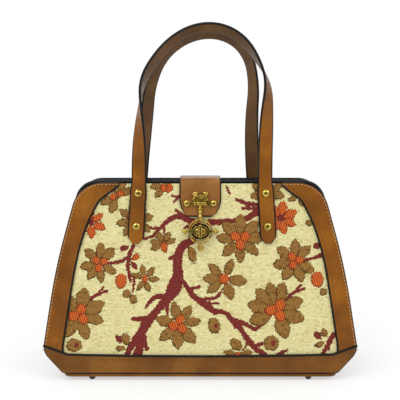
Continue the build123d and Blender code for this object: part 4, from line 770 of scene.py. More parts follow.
def plain_material(name, colour, roughness, grain, depth, specular=0.4):
    """Even material with a fine grain of the given size that breaks up its sheen."""
    made, tree = new_material(name)
    if tree is None:
        return made
    where = add(tree, "TexCoord", out="Object")
    cloud = add(tree, "TexNoise", {"Vector": where, "Scale": 1 / grain, "Detail": 3.0})
    shade = coated(tree, colour, tuple(0.72 * part for part in colour), cloud, 0.35, 0.7)
    rough = add(tree, "MapRange", {0: cloud, 1: 0.3, 2: 0.7, 3: roughness * 0.85, 4: roughness * 1.15})
    finished(tree, shade, cloud, strength=0.3, depth=depth,
             more={"Roughness": rough, "Specular IOR Level": specular})
    return made


def edge_paint():
    """Black edge paint: a thin dark satin line along every cut edge of the leather."""
    return plain_material("Black edge paint", tuple(colours().edge), roughness=0.45, grain=0.0015, depth=0.0001,
                          specular=0.25)


def leathercloth():
    """Black leathercloth: glossy and slightly wrinkled, with small bright streaks of light."""
    return plain_material("Black leathercloth", tuple(colours().leathercloth), roughness=0.36, grain=0.004,
                          depth=0.0012, specular=0.2)


def brass():
    """Aged polished brass: olive gold with dark reflections, browner and duller in small clouds."""
    made, tree = new_material("Aged brass")
    if tree is None:
        return made
    where = add(tree, "TexCoord", out="Object")
    cloud = add(tree, "TexNoise", {"Vector": where, "Scale": 280.0, "Detail": 3.0})
    metal = coated(tree, colours().brass, linear("#6b5520"), cloud, 0.46, 0.68, 0.85)
    rough = add(tree, "MapRange", {0: cloud, 1: 0.35, 2: 0.7, 3: 0.12, 4: 0.28})
    finished(tree, metal, cloud, strength=0.3, depth=0.0001, more={"Roughness": rough, "Metallic": 1.0})
    return made


def shade_dark_brass():
    """Brass painted dark brown as shade: the feet and the plate under the hasp."""
    return plain_material("Brass darkened as painted shade", linear("#2e2617"), roughness=0.35, grain=0.002, depth=0.0001)


# Operators


def figure_fields(u, v):
    """How far inside each colour of the figure every point lies, in metres; negative outside."""
    s = sizes()
    half = s.hip_width / 2
    tall = s.panel_height
    fields = {name: np.full(u.shape, -0.01) for name in ("petal", "orange", "branch", "eye")}
    fields["vein"] = np.ones(u.shape)
    # Share towards the lower left of each shape, which the material turns into painted shade along its outline.
    fields["shade"] = np.zeros(u.shape)
    under = {name: np.zeros(u.shape) for name in ("petal", "orange", "branch", "eye")}

    def deepen(name, near, value, shade, vein=1.0):
        over = (value > 0) & (value >= fields[name][near])
        under[name][near] = np.maximum(under[name][near], np.minimum(value, fields[name][near]))
        fields[name][near] = np.maximum(fields[name][near], value)
        fields["shade"][near] = np.where(over, shade, fields["shade"][near])
        fields["vein"][near] = np.where(over, vein, fields["vein"][near])

    def oval(name, place, wide, long, angle):
        near = np.hypot(u - place[0], v - place[1]) < 1.6 * max(wide, long)
        du, dv = u[near] - place[0], v[near] - place[1]
        x = du * math.cos(angle) + dv * math.sin(angle)
        y = dv * math.cos(angle) - du * math.sin(angle)
        deepen(name, near, (1 - np.hypot(x / wide, y / long)) * min(wide, long), -(du + dv) / (wide + long))

    def petals(name, flower, broad):
        for index, degrees in enumerate(flower[3]):
            # Each petal is a little longer or broader than the next, as woven ones are.
            uneven = math.sin(12.9 * index + 78.2 * flower[0] + 37.7 * flower[1])
            angle = math.radians(degrees)
            reach = flower[2] * tall * (1.02 + 0.06 * uneven)
            du, dv = u - flower[0] * half, v - flower[1] * tall
            near = np.hypot(du, dv) < 1.3 * reach
            du, dv = du[near], dv[near]
            along = (du * math.cos(angle) + dv * math.sin(angle)) / reach
            across = dv * math.cos(angle) - du * math.sin(angle)
            share = np.clip((along - PETAL_START) / (1 - PETAL_START), 0, 1)
            wide = reach * broad * (1 + 0.08 * uneven) * np.sin(math.pi * share ** 1.08) ** 0.72
            ends = reach * np.minimum(along - PETAL_START, 1 - along)
            inside = np.minimum(0.85 * (wide - np.abs(across)), ends)
            middle = 0.62 * reach * (math.cos(angle) + math.sin(angle))
            deepen(name, near, inside, (middle - du - dv) / (0.8 * reach), share)

    for flower in BROWN_BLOSSOMS:
        petals("petal", flower, 0.24)
        place = (flower[0] * half, flower[1] * tall)
        size = flower[2] * tall
        if flower[4] == 1:
            oval("orange", place, 0.23 * size, 0.25 * size, 0.3)
            continue
        oval("petal", place, 0.2 * size, 0.2 * size, 0)
        for index in range(flower[4]):
            angle = math.radians(flower[5]) + math.tau * index / flower[4]
            spot = (place[0] + 0.22 * size * math.cos(angle), place[1] + 0.22 * size * math.sin(angle))
            oval("orange", spot, 0.19 * size, 0.22 * size, angle - math.pi / 2)
    for flower in ORANGE_BLOSSOMS:
        petals("orange", flower, 0.25)
        oval("eye", (flower[0] * half, flower[1] * tall), 0.2 * flower[2] * tall, 0.22 * flower[2] * tall, 0)
    for name, buds in (("orange", ORANGE_BUDS), ("petal", BROWN_BUDS), ("branch", BURGUNDY_LEAVES)):
        for across, up, wide, long, degrees in buds:
            oval(name, (across * half, up * tall), wide * tall, long * tall, math.radians(degrees))
            if name == "petal" and wide > 0.03:
                place = (across * half + 0.3 * wide * tall, up * tall)
                oval("eye", place, 0.3 * wide * tall, 0.36 * wide * tall, 0)
    for branch in BRANCHES:
        run = curved([(across * half, up * tall, wide * tall / 2) for across, up, wide in branch], 6)
        for a, b in zip(run, run[1:]):
            near = np.hypot(u - a.x, v - a.y) < (b - a).length + 0.02
            du, dv = u[near] - a.x, v[near] - a.y
            bu, bv = b.x - a.x, b.y - a.y
            share = np.clip((du * bu + dv * bv) / (bu * bu + bv * bv), 0, 1)
            value = a.z + share * (b.z - a.z) - np.hypot(du - share * bu, dv - share * bv)
            fields["branch"][near] = np.maximum(fields["branch"][near], value)
    # Where two petals meet, the line between them counts as an edge.
    for name in ("petal", "orange"):
        fields[name + "_rim"] = fields[name] - np.maximum(under[name], 0)
    return fields


class CARPETBAG_OT_tapestry(Operator):
    """Woven faces of the front and the back, with their figure in low relief"""

    bl_idname = "carpet_bag.tapestry"
    bl_label = "Tapestry faces"

    def execute(self, context):
        s = sizes()
        inset = 0.0015
        for side in ("front", "back"):
            shape = bmesh.new()
            bmesh.ops.create_grid(shape, x_segments=WEAVE_GRID[0], y_segments=WEAVE_GRID[1], size=1)
            bmesh.ops.scale(shape, verts=shape.verts, vec=(s.hip_width / 2, s.panel_height / 2 - inset, 1))
            bmesh.ops.translate(shape, verts=shape.verts, vec=(0, s.panel_height / 2, s.tapestry))
            right = side_outline()[1:-1:2]
            left = mirrored(reversed(right))
            for a, b in [*zip(right, right[1:]), *zip(left, left[1:])]:
                outward = Vector((b.y - a.y, a.x - b.x, 0)).normalized()
                if abs(outward.x) < 1e-4:
                    continue
                place = Vector((a.x, a.y, 0)) - outward * inset
                bmesh.ops.bisect_plane(shape, geom=shape.verts[:] + shape.edges[:] + shape.faces[:], dist=1e-7,
                                       plane_co=place, plane_no=outward, clear_outer=True)
            rim = [edge for edge in shape.edges if edge.is_boundary]
            skirt = bmesh.ops.extrude_edge_only(shape, edges=rim)["geom"]
            skirt = [g for g in skirt if isinstance(g, bmesh.types.BMVert)]
            bmesh.ops.translate(shape, verts=skirt, vec=(0, 0, SEAT_SPACE - s.tapestry))
            nodes = [side + part for part in ("_tapestry", "_petals", "_blossom_centres", "_branches")]
            piece = make_piece(side + "_tapestry_face", shape, [tapestry_material()], nodes,
                               level=False)
            mesh = piece.data
            places = np.empty(len(mesh.vertices) * 3)
            mesh.vertices.foreach_get("co", places)
            places = places.reshape(-1, 3)
            fields = figure_fields(places[:, 0], places[:, 1])
            for name, values in fields.items():
                mesh.attributes.new(name, "FLOAT", "POINT").data.foreach_set("value", values.astype(np.float32))
            corner_verts = np.empty(len(mesh.loops), dtype=np.int32)
            mesh.loops.foreach_get("vertex_index", corner_verts)
            weave = mesh.uv_layers.new(name="Weave")
            weave.uv.foreach_set("vector", places[corner_verts, :2].astype(np.float32).ravel())
            inside = np.max([fields[name] for name in ("petal", "orange", "branch")], axis=0)
            raised = np.clip(inside / FIGURE_SLOPE, 0, 1)
            face_up = places[:, 2] > s.tapestry * 0.9
            places[:, 2] += np.where(face_up, s.figure * raised * raised * (3 - 2 * raised), 0)
            mesh.vertices.foreach_set("co", places.ravel())
            mesh.transform(panel_matrix(side == "back"))
            mesh.update()
        return {"FINISHED"}


def trim_runs(side):
    """Outer and inner edge of one side trim, each from the base band up to the mouth."""
    s = sizes()
    straight_v = 0.75 * s.panel_height
    blunt_v = s.panel_height - 0.0026
    low_u = side_u(s.seam_end) - s.trim_low
    bow_u = half_bow() - (s.trim_low + s.trim_high) / 2
    high_u = side_u(straight_v) - s.trim_high
    bend = [(s.top_width / 2 * across, s.panel_height * up) for across, up in TRIM_CURVE]
    spots = [(low_u, s.seam_end), (bow_u, bow_v()), (high_u, straight_v), *bend]
    inner = [Vector((low_u, seam_v(low_u) + SEAM_SPACE))] + curved(spots)
    # The point of the trim is cut blunt just under the mouth.
    inner = [p for p in inner if p.y < blunt_v]
    outer = [p for p in split_outline(SEAM_SPACE)[1] if p.x > inner[-1].x]
    outer.append(Vector((inner[-1].x, s.panel_height)))
    if side > 0:
        return outer, inner
    return mirrored(outer), mirrored(inner)


class CARPETBAG_OT_trims(Operator):
    """Tan leather side trims with black painted edges and black piping along their inner edges"""

    bl_idname = "carpet_bag.trims"
    bl_label = "Side trims"

    def execute(self, context):
        s = sizes()
        for panel, across in (("front", 1), ("back", -1)):
            place = panel_matrix(panel == "back")
            for name, side in (("left", -across), ("right", across)):
                outer, inner = trim_runs(side)
                seam = [Vector((u, seam_v(u) + SEAM_SPACE)) for u in np.linspace(inner[0].x, outer[0].x, 6)[1:-1]]
                shape = bmesh.new()
                take(shape, slab(outer + inner[::-1] + seam, s.trim, s.edge_paint), moved(place, z=s.tapestry))
                take(shape, piping(inner, s.piping, s.tapestry + s.trim * 0.8, place), Matrix.Identity(4), 1)
                label = f"{panel}_{name}_trim"
                make_piece(label + "_leather", shape, [tan_leather(), edge_paint()], [label])
        return {"FINISHED"}


def band_runs():
    """Upper seam of the base band, and its lower edge from one end to the other."""
    right = split_outline(0)[0]
    across = [-right[-1].x, *np.linspace(-SEAM_KNEE, SEAM_KNEE, 31) * sizes().hip_width / 2, right[-1].x]
    seam = [Vector((u, seam_v(u))) for u in across]
    return seam, right[::-1] + mirrored(right)[1:]


class CARPETBAG_OT_bands(Operator):
    """Tan leather base bands with black piping along their curved upper seam"""

    bl_idname = "carpet_bag.bands"
    bl_label = "Base bands"

    def execute(self, context):
        s = sizes()
        seam, lower = band_runs()
        for panel in ("front", "back"):
            place = panel_matrix(panel == "back")
            shape = bmesh.new()
            take(shape, slab(seam + lower[1:-1], s.band, s.edge_paint), moved(place, z=s.tapestry))
            take(shape, piping(seam, s.piping * 1.3, s.tapestry + s.band * 0.8, place), Matrix.Identity(4), 1)
            make_piece(f"{panel}_band_leather", shape, [base_leather(), edge_paint()],
                       [f"{panel}_base_band"])
        return {"FINISHED"}


class CARPETBAG_OT_stitching(Operator):
    """Sewing thread along the trims and the base bands"""

    bl_idname = "carpet_bag.stitching"
    bl_label = "Stitching"

    def execute(self, context):
        s = sizes()
        pale = bmesh.new()
        brown = bmesh.new()
        seam = band_runs()[0]
        for panel in ("front", "back"):
            matrix = panel_matrix(panel == "back")
            runs = [(brown, beside(seam, -SEAM_MARGIN), s.tapestry + s.band)]
            for side in (-1, 1):
                outer, inner = trim_runs(side)
                runs.append((pale, beside(outer, side * EDGE_MARGIN), s.tapestry + s.trim))
                runs.append((brown, beside(inner, -side * SEAM_MARGIN)[1:], s.tapestry + s.trim))
            for target, run, out in runs:
                shape = bmesh.new()
                for place, along in even_run(run, s.stitch_pitch):
                    angle = math.atan2(along.y, along.x)
                    spot = Matrix.Translation((place.x, place.y, out + 0.0002)) @ Matrix.Rotation(angle, 4, "Z")
                    oval = Matrix.Diagonal((s.stitch / 2, s.thread, s.thread, 1))
                    bmesh.ops.create_uvsphere(shape, u_segments=6, v_segments=4, radius=1, matrix=spot @ oval)
                take(target, shape, matrix)
        for name, shape, yarn, colour in (("edge_stitching", pale, "Cream sewing thread", tuple(colours().thread)),
                                          ("seam_stitching", brown, "Brown sewing thread", linear("#7a4a1c"))):
            cotton = plain_material(yarn, colour, roughness=0.8, grain=0.001, depth=0.0001)
            make_piece(name, shape, [cotton], level=False)
        return {"FINISHED"}


class CARPETBAG_OT_bindings(Operator):
    """Rolled black bindings round the mouth"""

    bl_idname = "carpet_bag.bindings"
    bl_label = "Mouth bindings"

    def execute(self, context):
        s = sizes()
        end_v = s.panel_height - 0.042
        inset = 0.003
        corner = 0.022
        end_u = side_u(end_v) - inset
        top = s.top_width / 2 - inset
        points = [(-end_u, end_v), (-top, s.panel_height), (top, s.panel_height), (end_u, end_v)]
        route = refined(rounded(points, (0, corner, corner, 0), closed=False, steps=14), SECTION_PITCH)
        depth = -(s.board + 0.0002 + s.binding)
        for panel in ("front", "back"):
            frames = run_frames(route, depth, panel_matrix(panel == "back"))
            for index, place in enumerate(route):
                # Small gathers where the roll goes round its corners.
                bend = math.exp(-((abs(place.x) - top + 0.008) / 0.014) ** 2)
                full = 0.98 - 0.05 * bend * (0.5 + 0.5 * math.sin(index * 2.1))
                frames[index] = frames[index] @ Matrix.Diagonal((full, full, 1, 1))
            make_piece(f"{panel}_rolled_binding", swept(round_ring(s.binding, 16), frames), [leathercloth()],
                       [f"{panel}_binding"], level=False)
        return {"FINISHED"}


def handle_frames(name, shift, sway, waist, turns):
    """Frames along a handle from its left spear point over the arch to its right one."""
    s = sizes()
    span, rise, tilt = (getattr(s, f"{name}_{size}") for size in ("span", "rise", "tilt"))
    crest = s.leg_height + rise
    panel = panel_matrix(False)
    seat = seat_out() + s.strap_thickness / 2
    half = s.strap_width / 2
    tab = s.tab_width / 2
    # Half width of a tab at each drop under the panel's top edge, from its spear point up.
    drops = ((0.0709, 0.0030), (0.0706, 0.0036), (0.0698, 0.0043), (0.066, 0.0072), (0.0630, 0.0093),
             (0.0615, tab * 0.99), (0.059, tab), (0.045, tab), (0.030, tab), (0.012, tab),
             (0.006, (tab + half) / 2), (0.001, half))
    tabs = []
    for side in (-1, 1):
        run = []
        for drop, reach in drops:
            place = panel @ Vector((shift + side * (span / 2 + drop * SPLAY), s.panel_height - drop, seat))
            along = panel.to_3x3() @ Vector((SPLAY, -side, 0))
            wide = panel.to_3x3() @ Vector((-side, -SPLAY, 0))
            run.append(placed(place, wide, along, reach / half))
        tabs.append(run)
    start = panel @ Vector((0, s.panel_height, seat))
    spots = [(-span / 2, s.leg_height * share) for share in np.linspace(0.04, 1, 13)[:-1]]
    for angle in np.linspace(math.pi, 0, 41):
        spots.append((span / 2 * math.cos(angle), s.leg_height + rise * math.sin(angle)))
    spots += [(span / 2, s.leg_height * share) for share in np.linspace(1, 0.04, 13)[1:]]
    bend = curved(waist, 6)
    # Height over which a strap leaves the slope of its panel.
    ease = 0.030
    points = []
    for x, height in spots:
        x *= 1 - np.interp(height / crest, [p.x for p in bend], [p.y for p in bend])
        run = math.tan(s.lean) * ease * (1 - math.exp(-height / ease))
        aside = sway * (height / crest) ** 2
        points.append(Vector((x + aside, start.y + run, start.z + height)))
    loop = []
    for index, point in enumerate(points):
        along = heading(points, index).normalized()
        out = Vector((0, -1, 0))
        out = (out - along * out.dot(along)).normalized()
        rim = out.cross(along).normalized()
        reach, late = turns[spots[index][0] > 0]
        share = min(spots[index][1] / (crest * reach), 1) ** late
        twist = -math.pi / 2 + (math.pi / 2 + tilt) * share * share * (3 - 2 * share)
        place = point + Vector((shift, 0, 0))
        loop.append(placed(place, out * math.cos(twist) + rim * math.sin(twist), along))
    frames = tabs[0] + loop + tabs[1][::-1]
    if name == "back":
        half_turn = Matrix.Rotation(math.pi, 4, "Z")
        frames = [half_turn @ here for here in frames]
    return frames


class CARPETBAG_OT_handles(Operator):
    """Strap handles with their spear-pointed tabs"""

    bl_idname = "carpet_bag.handles"
    bl_label = "Handles"

    def execute(self, context):
        s = sizes()
        ring = strap_ring(s.strap_width, s.strap_thickness, s.strap_paint)
        for handle in HANDLES:
            name = handle[0]
            frames = handle_frames(*handle)
            shape = swept(ring, frames, s.strap_width / 2 - s.strap_paint, 2)
            make_piece(f"{name}_strap", shape, [handle_leather(), edge_paint(), shaded_strap_lining()],
                       [f"{name}_handle"], level=False)
        return {"FINISHED"}


class CARPETBAG_OT_flap(Operator):
    """Closure flap from the back over the mouth to the clasp"""

    bl_idname = "carpet_bag.flap"
    bl_label = "Closure flap"

    def execute(self, context):
        s = sizes()
        panel = panel_matrix(False)
        front_v = s.panel_height - 0.040
        rear_v = s.panel_height - 0.044
        bend_radius = 0.007
        # Height of the flap's middle over the mouth, the length over which its front end widens, and how much
        # its ends are rounded.
        over_mouth = 0.0039
        widening = 0.019
        end_round = 0.004
        out = seat_out() + s.flap_thickness / 2
        front = panel @ Vector((0, front_v, out))
        rear = panel @ Vector((0, rear_v, out))
        top_z = s.panel_lift + s.panel_height * math.cos(s.lean) + over_mouth
        bend_v = (top_z - s.panel_lift - out * math.sin(s.lean)) / math.cos(s.lean)
        bend = panel @ Vector((0, bend_v, out))
        corners = [(front.y, front.z), (bend.y, bend.z), (-bend.y, bend.z), (-rear.y, rear.z)]
        route = rounded(corners, (0, bend_radius, bend_radius, 0), closed=False, steps=10)
        total = sum((b - a).length for a, b in zip(route, route[1:]))
        fine = refined(route, 0.0012)
        gone = 0.0
        frames = []
        half = s.flap_width / 2
        tip = s.flap_tip / 2
        for index, place in enumerate(fine):
            if index:
                gone += (place - fine[index - 1]).length
            along = heading(fine, index)
            # The front end widens in a soft curve from its blunt, rounded tip.
            share = 1 - (1 - min(gone / widening, 1)) ** 1.7
            reach = tip + (half - tip) * share - end_round * math.exp(-gone / 0.0016)
            reach -= end_round * math.exp(-(total - gone) / 0.0015)
            frames.append(placed(Vector((0, place.x, place.y)), Vector((1, 0, 0)), Vector((0, along.x, along.y)),
                                 reach / half))
        ring = strap_ring(s.flap_width, s.flap_thickness, s.strap_paint)
        shape = swept(ring, frames, half - s.strap_paint)
        # The paint also goes round the flap's front end.
        inverse = panel.inverted()
        painted_v = s.panel_height - 0.0381
        for face in shape.faces:
            middle = face.calc_center_median()
            if middle.y < 0 and (inverse @ middle).y < painted_v:
                face.material_index = 1
        make_piece("flap_leather", shape, [flap_leather(), edge_paint()], ["closure_flap"],
                   level=False)
        return {"FINISHED"}


def dome(radius, height):
    """Dome rivet head with a thin flange."""
    rim = height * 0.22
    turns = np.linspace(0, math.pi / 2, 9)
    arc = [(0.9 * radius * math.sin(a), rim + (height - rim) * math.cos(a)) for a in turns]
    return turned([(0, height)] + arc[1:] + [(radius * 0.97, rim * 0.9), (radius, rim * 0.5), (radius, 0)], 28)


class CARPETBAG_OT_rivets(Operator):
    """Dome rivets of the handles, the flap and the clasp"""

    bl_idname = "carpet_bag.rivets"
    bl_label = "Rivets"

    def execute(self, context):
        s = sizes()
        seat = seat_out()
        for name, shift in (handle[:2] for handle in HANDLES):
            span = getattr(s, f"{name}_span")
            place = panel_matrix(name == "back")
            out = seat + s.strap_thickness + RIVET_SPACE
            shape = bmesh.new()
            for side in (-1, 1):
                for drop in RIVET_DROPS:
                    across = shift + side * (span / 2 + drop * SPLAY)
                    take(shape, dome(s.rivet, s.rivet_height), moved(place, across, s.panel_height - drop, out))
            make_piece(f"{name}_rivet_domes", shape, [brass()], [f"{name}_handle_rivets"], level=False)
        flap_out = seat + s.flap_thickness
        for name, back, across, up, out, node in (
                ("flap_rivet_domes", True, 0.014, s.panel_height - 0.032, flap_out, "flap_rivets"),
                ("clasp_rivet_domes", False, 0.0153, s.panel_height - 0.0245, flap_out + 0.001, "clasp_rivets")):
            shape = bmesh.new()
            for side in (-1, 1):
                take(shape, dome(*SMALL_RIVET), moved(panel_matrix(back), side * across, up, out + RIVET_SPACE))
            make_piece(name, shape, [brass()], [node], level=False)
        return {"FINISHED"}


def brass_piece(name, parts, nodes, body="bag", dark=0):
    """Brass piece made of shapes that each have their own place, the first few of them in the dark brass that
    paints shade.
    """
    shape = bmesh.new()
    for index, (part, place) in enumerate(parts):
        take(shape, part, place, 1 if index < dark else 0)
    metals = [brass(), shade_dark_brass()] if dark else [brass()]
    make_piece(name, shape, metals, nodes, body)


def knob(shares, radius, tall, steps=20):
    """Turned knob with a smooth profile given in shares of its radius and height."""
    profile = [(max(p.x, 0) * radius, p.y * tall) for p in curved(shares, 5)]
    return turned([(0, profile[0][1])] + profile + [(0, profile[-1][1])], steps)


def ellipse(wide, tall, count=40):
    """Outline of an ellipse of that width and height."""
    return [(wide / 2 * math.cos(a), tall / 2 * math.sin(a)) for a in np.linspace(0, math.tau, count + 1)[:-1]]


def block(wide, tall, radius):
    """Outline of a rectangle with rounded corners."""
    x, y = wide / 2, tall / 2
    return rounded([(-x, -y), (x, -y), (x, y), (-x, y)], (radius,) * 4, steps=5)


class CARPETBAG_OT_clasp(Operator):
    """Brass clasp plate, hinged hasp, lock base and turn button"""

    bl_idname = "carpet_bag.clasp"
    bl_label = "Clasp"

    def execute(self, context):
        s = sizes()
        panel = panel_matrix(False)
        hinge_v = s.panel_height - s.clasp_drop
        plate = moved(panel, 0, hinge_v, seat_out() + s.flap_thickness)
        hinge = moved(panel, 0, hinge_v, s.hinge_out)
        eye = moved(panel, 0, hinge_v - s.hasp_reach, s.hinge_out)
        lock = moved(panel, 0, hinge_v - s.hasp_reach, seat_out())
        sideways = Matrix.Rotation(math.pi / 2, 4, "Y")
        down = Matrix.Rotation(math.pi / 2, 4, "X")
        # Clasp plate: a bar under the rivets, a stepped block with two horned knobs, and the hinge's ears.
        bar = block(wide=0.0396, tall=0.006, radius=0.00299)
        lower_step = block(wide=0.018, tall=0.0040, radius=0.0014)
        upper_step = block(wide=0.0132, tall=0.0034, radius=0.0014)
        post = block(wide=0.0032, tall=0.0046, radius=0.0004)
        parts = [(slab(bar, thickness=0.001, rounding=0.0004), plate),
                 (slab(lower_step, thickness=0.005, rounding=0.0016, segments=5), moved(plate, y=0.0047)),
                 (slab(upper_step, thickness=0.0046, rounding=0.0014, segments=5), moved(plate, y=0.0080))]
        for side in (-1, 1):
            ear_u = side * 0.0058
            foot = moved(plate, x=side * 0.0048, y=0.006, z=0.0036)
            lean = Matrix.Rotation(math.radians(-14 * side), 4, "Z") @ Matrix.Rotation(-math.pi / 2, 4, "X")
            parts.append((knob(HORN, radius=0.0036, tall=0.0074), foot @ lean))
            parts.append((turned(EAR, 24, ring=True), moved(hinge, x=ear_u - EAR[-1][1] / 2) @ sideways))
            parts.append((slab(post, thickness=0.0022, rounding=0.0001), moved(plate, x=ear_u)))
        brass_piece("clasp_plate_brass", parts, ["clasp_plate"])
        # Hasp: a turned stem, a grooved ring, two jaws on bridges and three leafy finials.
        parts = [(turned(BARREL, 24, ring=True), hinge @ sideways),
                 (knob(STEM, radius=0.0031, tall=s.hasp_reach - s.hasp_ring), hinge @ down)]
        for radius, wire in ((s.hasp_ring + 0.0008, 0.0009), (s.hasp_ring - 0.0017, 0.0006)):
            profile = [(radius + x, y) for x, y in round_ring(wire, 12)]
            parts.append((turned(profile, 48, ring=True), eye))
        for angle, share in ((0, 1.0), (math.pi, 1.0), (-math.pi / 2, 1.2)):
            aim = moved(eye @ Matrix.Rotation(angle, 4, "Z"), x=s.hasp_ring + 0.0011)
            parts.append((knob(FINIAL, radius=0.0026 * share, tall=0.0078 * share), aim @ sideways))
            for side in (-1, 1):
                leaf = bmesh.new()
                bmesh.ops.create_uvsphere(leaf, u_segments=12, v_segments=8, radius=0.0015 * share)
                parts.append((leaf, moved(aim, x=0.0038 * share, y=side * 0.0021 * share)))
        jaw_thickness = 0.0018
        bridge = block(wide=0.0050, tall=0.004, radius=0.0002)
        under = moved(eye, z=-jaw_thickness / 2)
        for side in (-1, 1):
            outer = [(side * 0.009 * math.cos(a), 0.0067 * math.sin(a)) for a in np.linspace(-1.23, 1.23, 15)]
            inner = [(side * 0.00675 * math.cos(a), 0.00475 * math.sin(a)) for a in np.linspace(1.11, -1.11, 13)]
            jaw = outer + inner
            parts.append((slab(jaw if side > 0 else jaw[::-1], jaw_thickness, rounding=0.0005), under))
            parts.append((slab(bridge, jaw_thickness, rounding=0.0003), moved(under, x=side * 0.0104)))
        brass_piece("hasp_brass", parts, ["hasp"], "hasp")
        # Lock base and, a little above its boss, the turn button on its spindle.
        parts = [(slab(ellipse(wide=0.023, tall=0.018), thickness=0.0012, rounding=0.0005), lock),
                 (slab(ellipse(wide=0.0125, tall=0.0085), s.boss, rounding=0.0018, segments=5), lock)]
        # The plate under the boss takes the dark brass, as painted shade under the hasp's ring.
        brass_piece("lock_base_brass", parts, ["lock_base"], dark=1)
        lift = moved(lock, z=s.boss + 0.0005)
        button = block(wide=0.005, tall=0.016, radius=0.00249)
        parts = [(slab(button, thickness=0.003, rounding=0.0021, segments=5), lift), (turned(SPINDLE, 20), lift)]
        brass_piece("turn_button_brass", parts, ["turn_button"], "button")
        dress(brass(), "brass", "hinge_pin", "lock_rivets", "button_washer")
        return {"FINISHED"}


class CARPETBAG_OT_carcass(Operator):
    """Boards, folded gussets, lining, sole and feet"""

    bl_idname = "carpet_bag.carcass"
    bl_label = "Carcass"

    def execute(self, context):
        s = sizes()
        top_v = s.panel_height - 0.044
        bend_v = 0.35 * s.panel_height
        # The ends fold in a little at the sole and more towards the mouth.
        fold_low = 0.0008
        fold_more = 0.0212
        for name, side in (("left", -1), ("right", 1)):
            shape = bmesh.new()
            bmesh.ops.create_grid(shape, x_segments=24, y_segments=32, size=1)
            for vert in shape.verts:
                share = vert.co.x
                v = top_v * (vert.co.y + 1) / 2
                ease = min(max((v - bend_v) / (top_v - bend_v), 0), 1)
                fold = fold_low + fold_more * ease * ease * (1.6 - 0.6 * ease)
                z = s.panel_lift + v * math.cos(s.lean)
                half = s.base_depth / 2 - (z - s.panel_lift) * math.tan(s.lean) - s.board / math.cos(s.lean)
                half -= SEAM_SPACE
                reach = side_u(v) - 0.0026
                vert.co = (side * (reach - fold * (1 - abs(share) ** 1.5)), share * half, z)
            bmesh.ops.recalc_face_normals(shape, faces=shape.faces)
            if sum(face.normal.x for face in shape.faces) * side < 0:
                bmesh.ops.reverse_faces(shape, faces=shape.faces)
            bmesh.ops.solidify(shape, geom=shape.faces[:], thickness=0.0022)
            make_piece(f"{name}_gusset_leather", shape, [base_leather()], [f"{name}_gusset"],
                       level=False)
        sole_z = 0.005
        overhang = 0.0024
        half = s.floor_width / 2
        deep = s.base_depth / 2 + overhang
        corners = [(-half, -deep), (half, -deep), (half, deep), (-half, deep)]
        outline = rounded(corners, (0.010,) * 4)
        shape = slab(outline, thickness=0.003, rounding=0.0008)
        bmesh.ops.translate(shape, verts=shape.verts, vec=(0, 0, sole_z))
        make_piece("sole_leather", shape, [base_leather(), base_leather()], ["sole"])
        dress(edge_paint(), "stiff_board", "front_board", "back_board")
        dress(leathercloth(), "black_leathercloth", "front_facing", "back_facing")
        lining = plain_material("Brown lining cloth", tuple(colours().lining), roughness=0.9, grain=0.002,
                                depth=0.0002)
        dress(lining, "lining_cloth", "lining")
        grey_board = plain_material("Grey stiff board", linear("#4a4038"), roughness=0.9, grain=0.002,
                                    depth=0.0002)
        dress(grey_board, "stiff_board", "base_board")
        # The feet take the dark brass, as painted shade under the bag.
        dress(shade_dark_brass(), "brass", "feet")
        return {"FINISHED"}


def seen_rays(tree):
    """One where a ray comes from the camera or from a mirror or glass, so that they show the same background."""
    seen = 0.0
    for ray in ("Is Camera Ray", "Is Glossy Ray", "Is Transmission Ray"):
        path = add(tree, "LightPath", out=ray)
        seen = add(tree, "Math", {0: seen, 1: path}, operation="MAXIMUM")
    return seen


def stage_sheet(name, half_wide, half_tall, place):
    """Flat sheet of the stage."""
    shape = bmesh.new()
    bmesh.ops.create_grid(shape, x_segments=1, y_segments=1, size=1)
    bmesh.ops.scale(shape, verts=shape.verts, vec=(half_wide, half_tall, 1))
    bmesh.ops.transform(shape, matrix=place, verts=shape.verts)
    mesh = bpy.data.meshes.new(name)
    shape.to_mesh(mesh)
    shape.free()
    made = bpy.data.objects.new(name, mesh)
    bpy.context.scene.collection.objects.link(made)
    return made


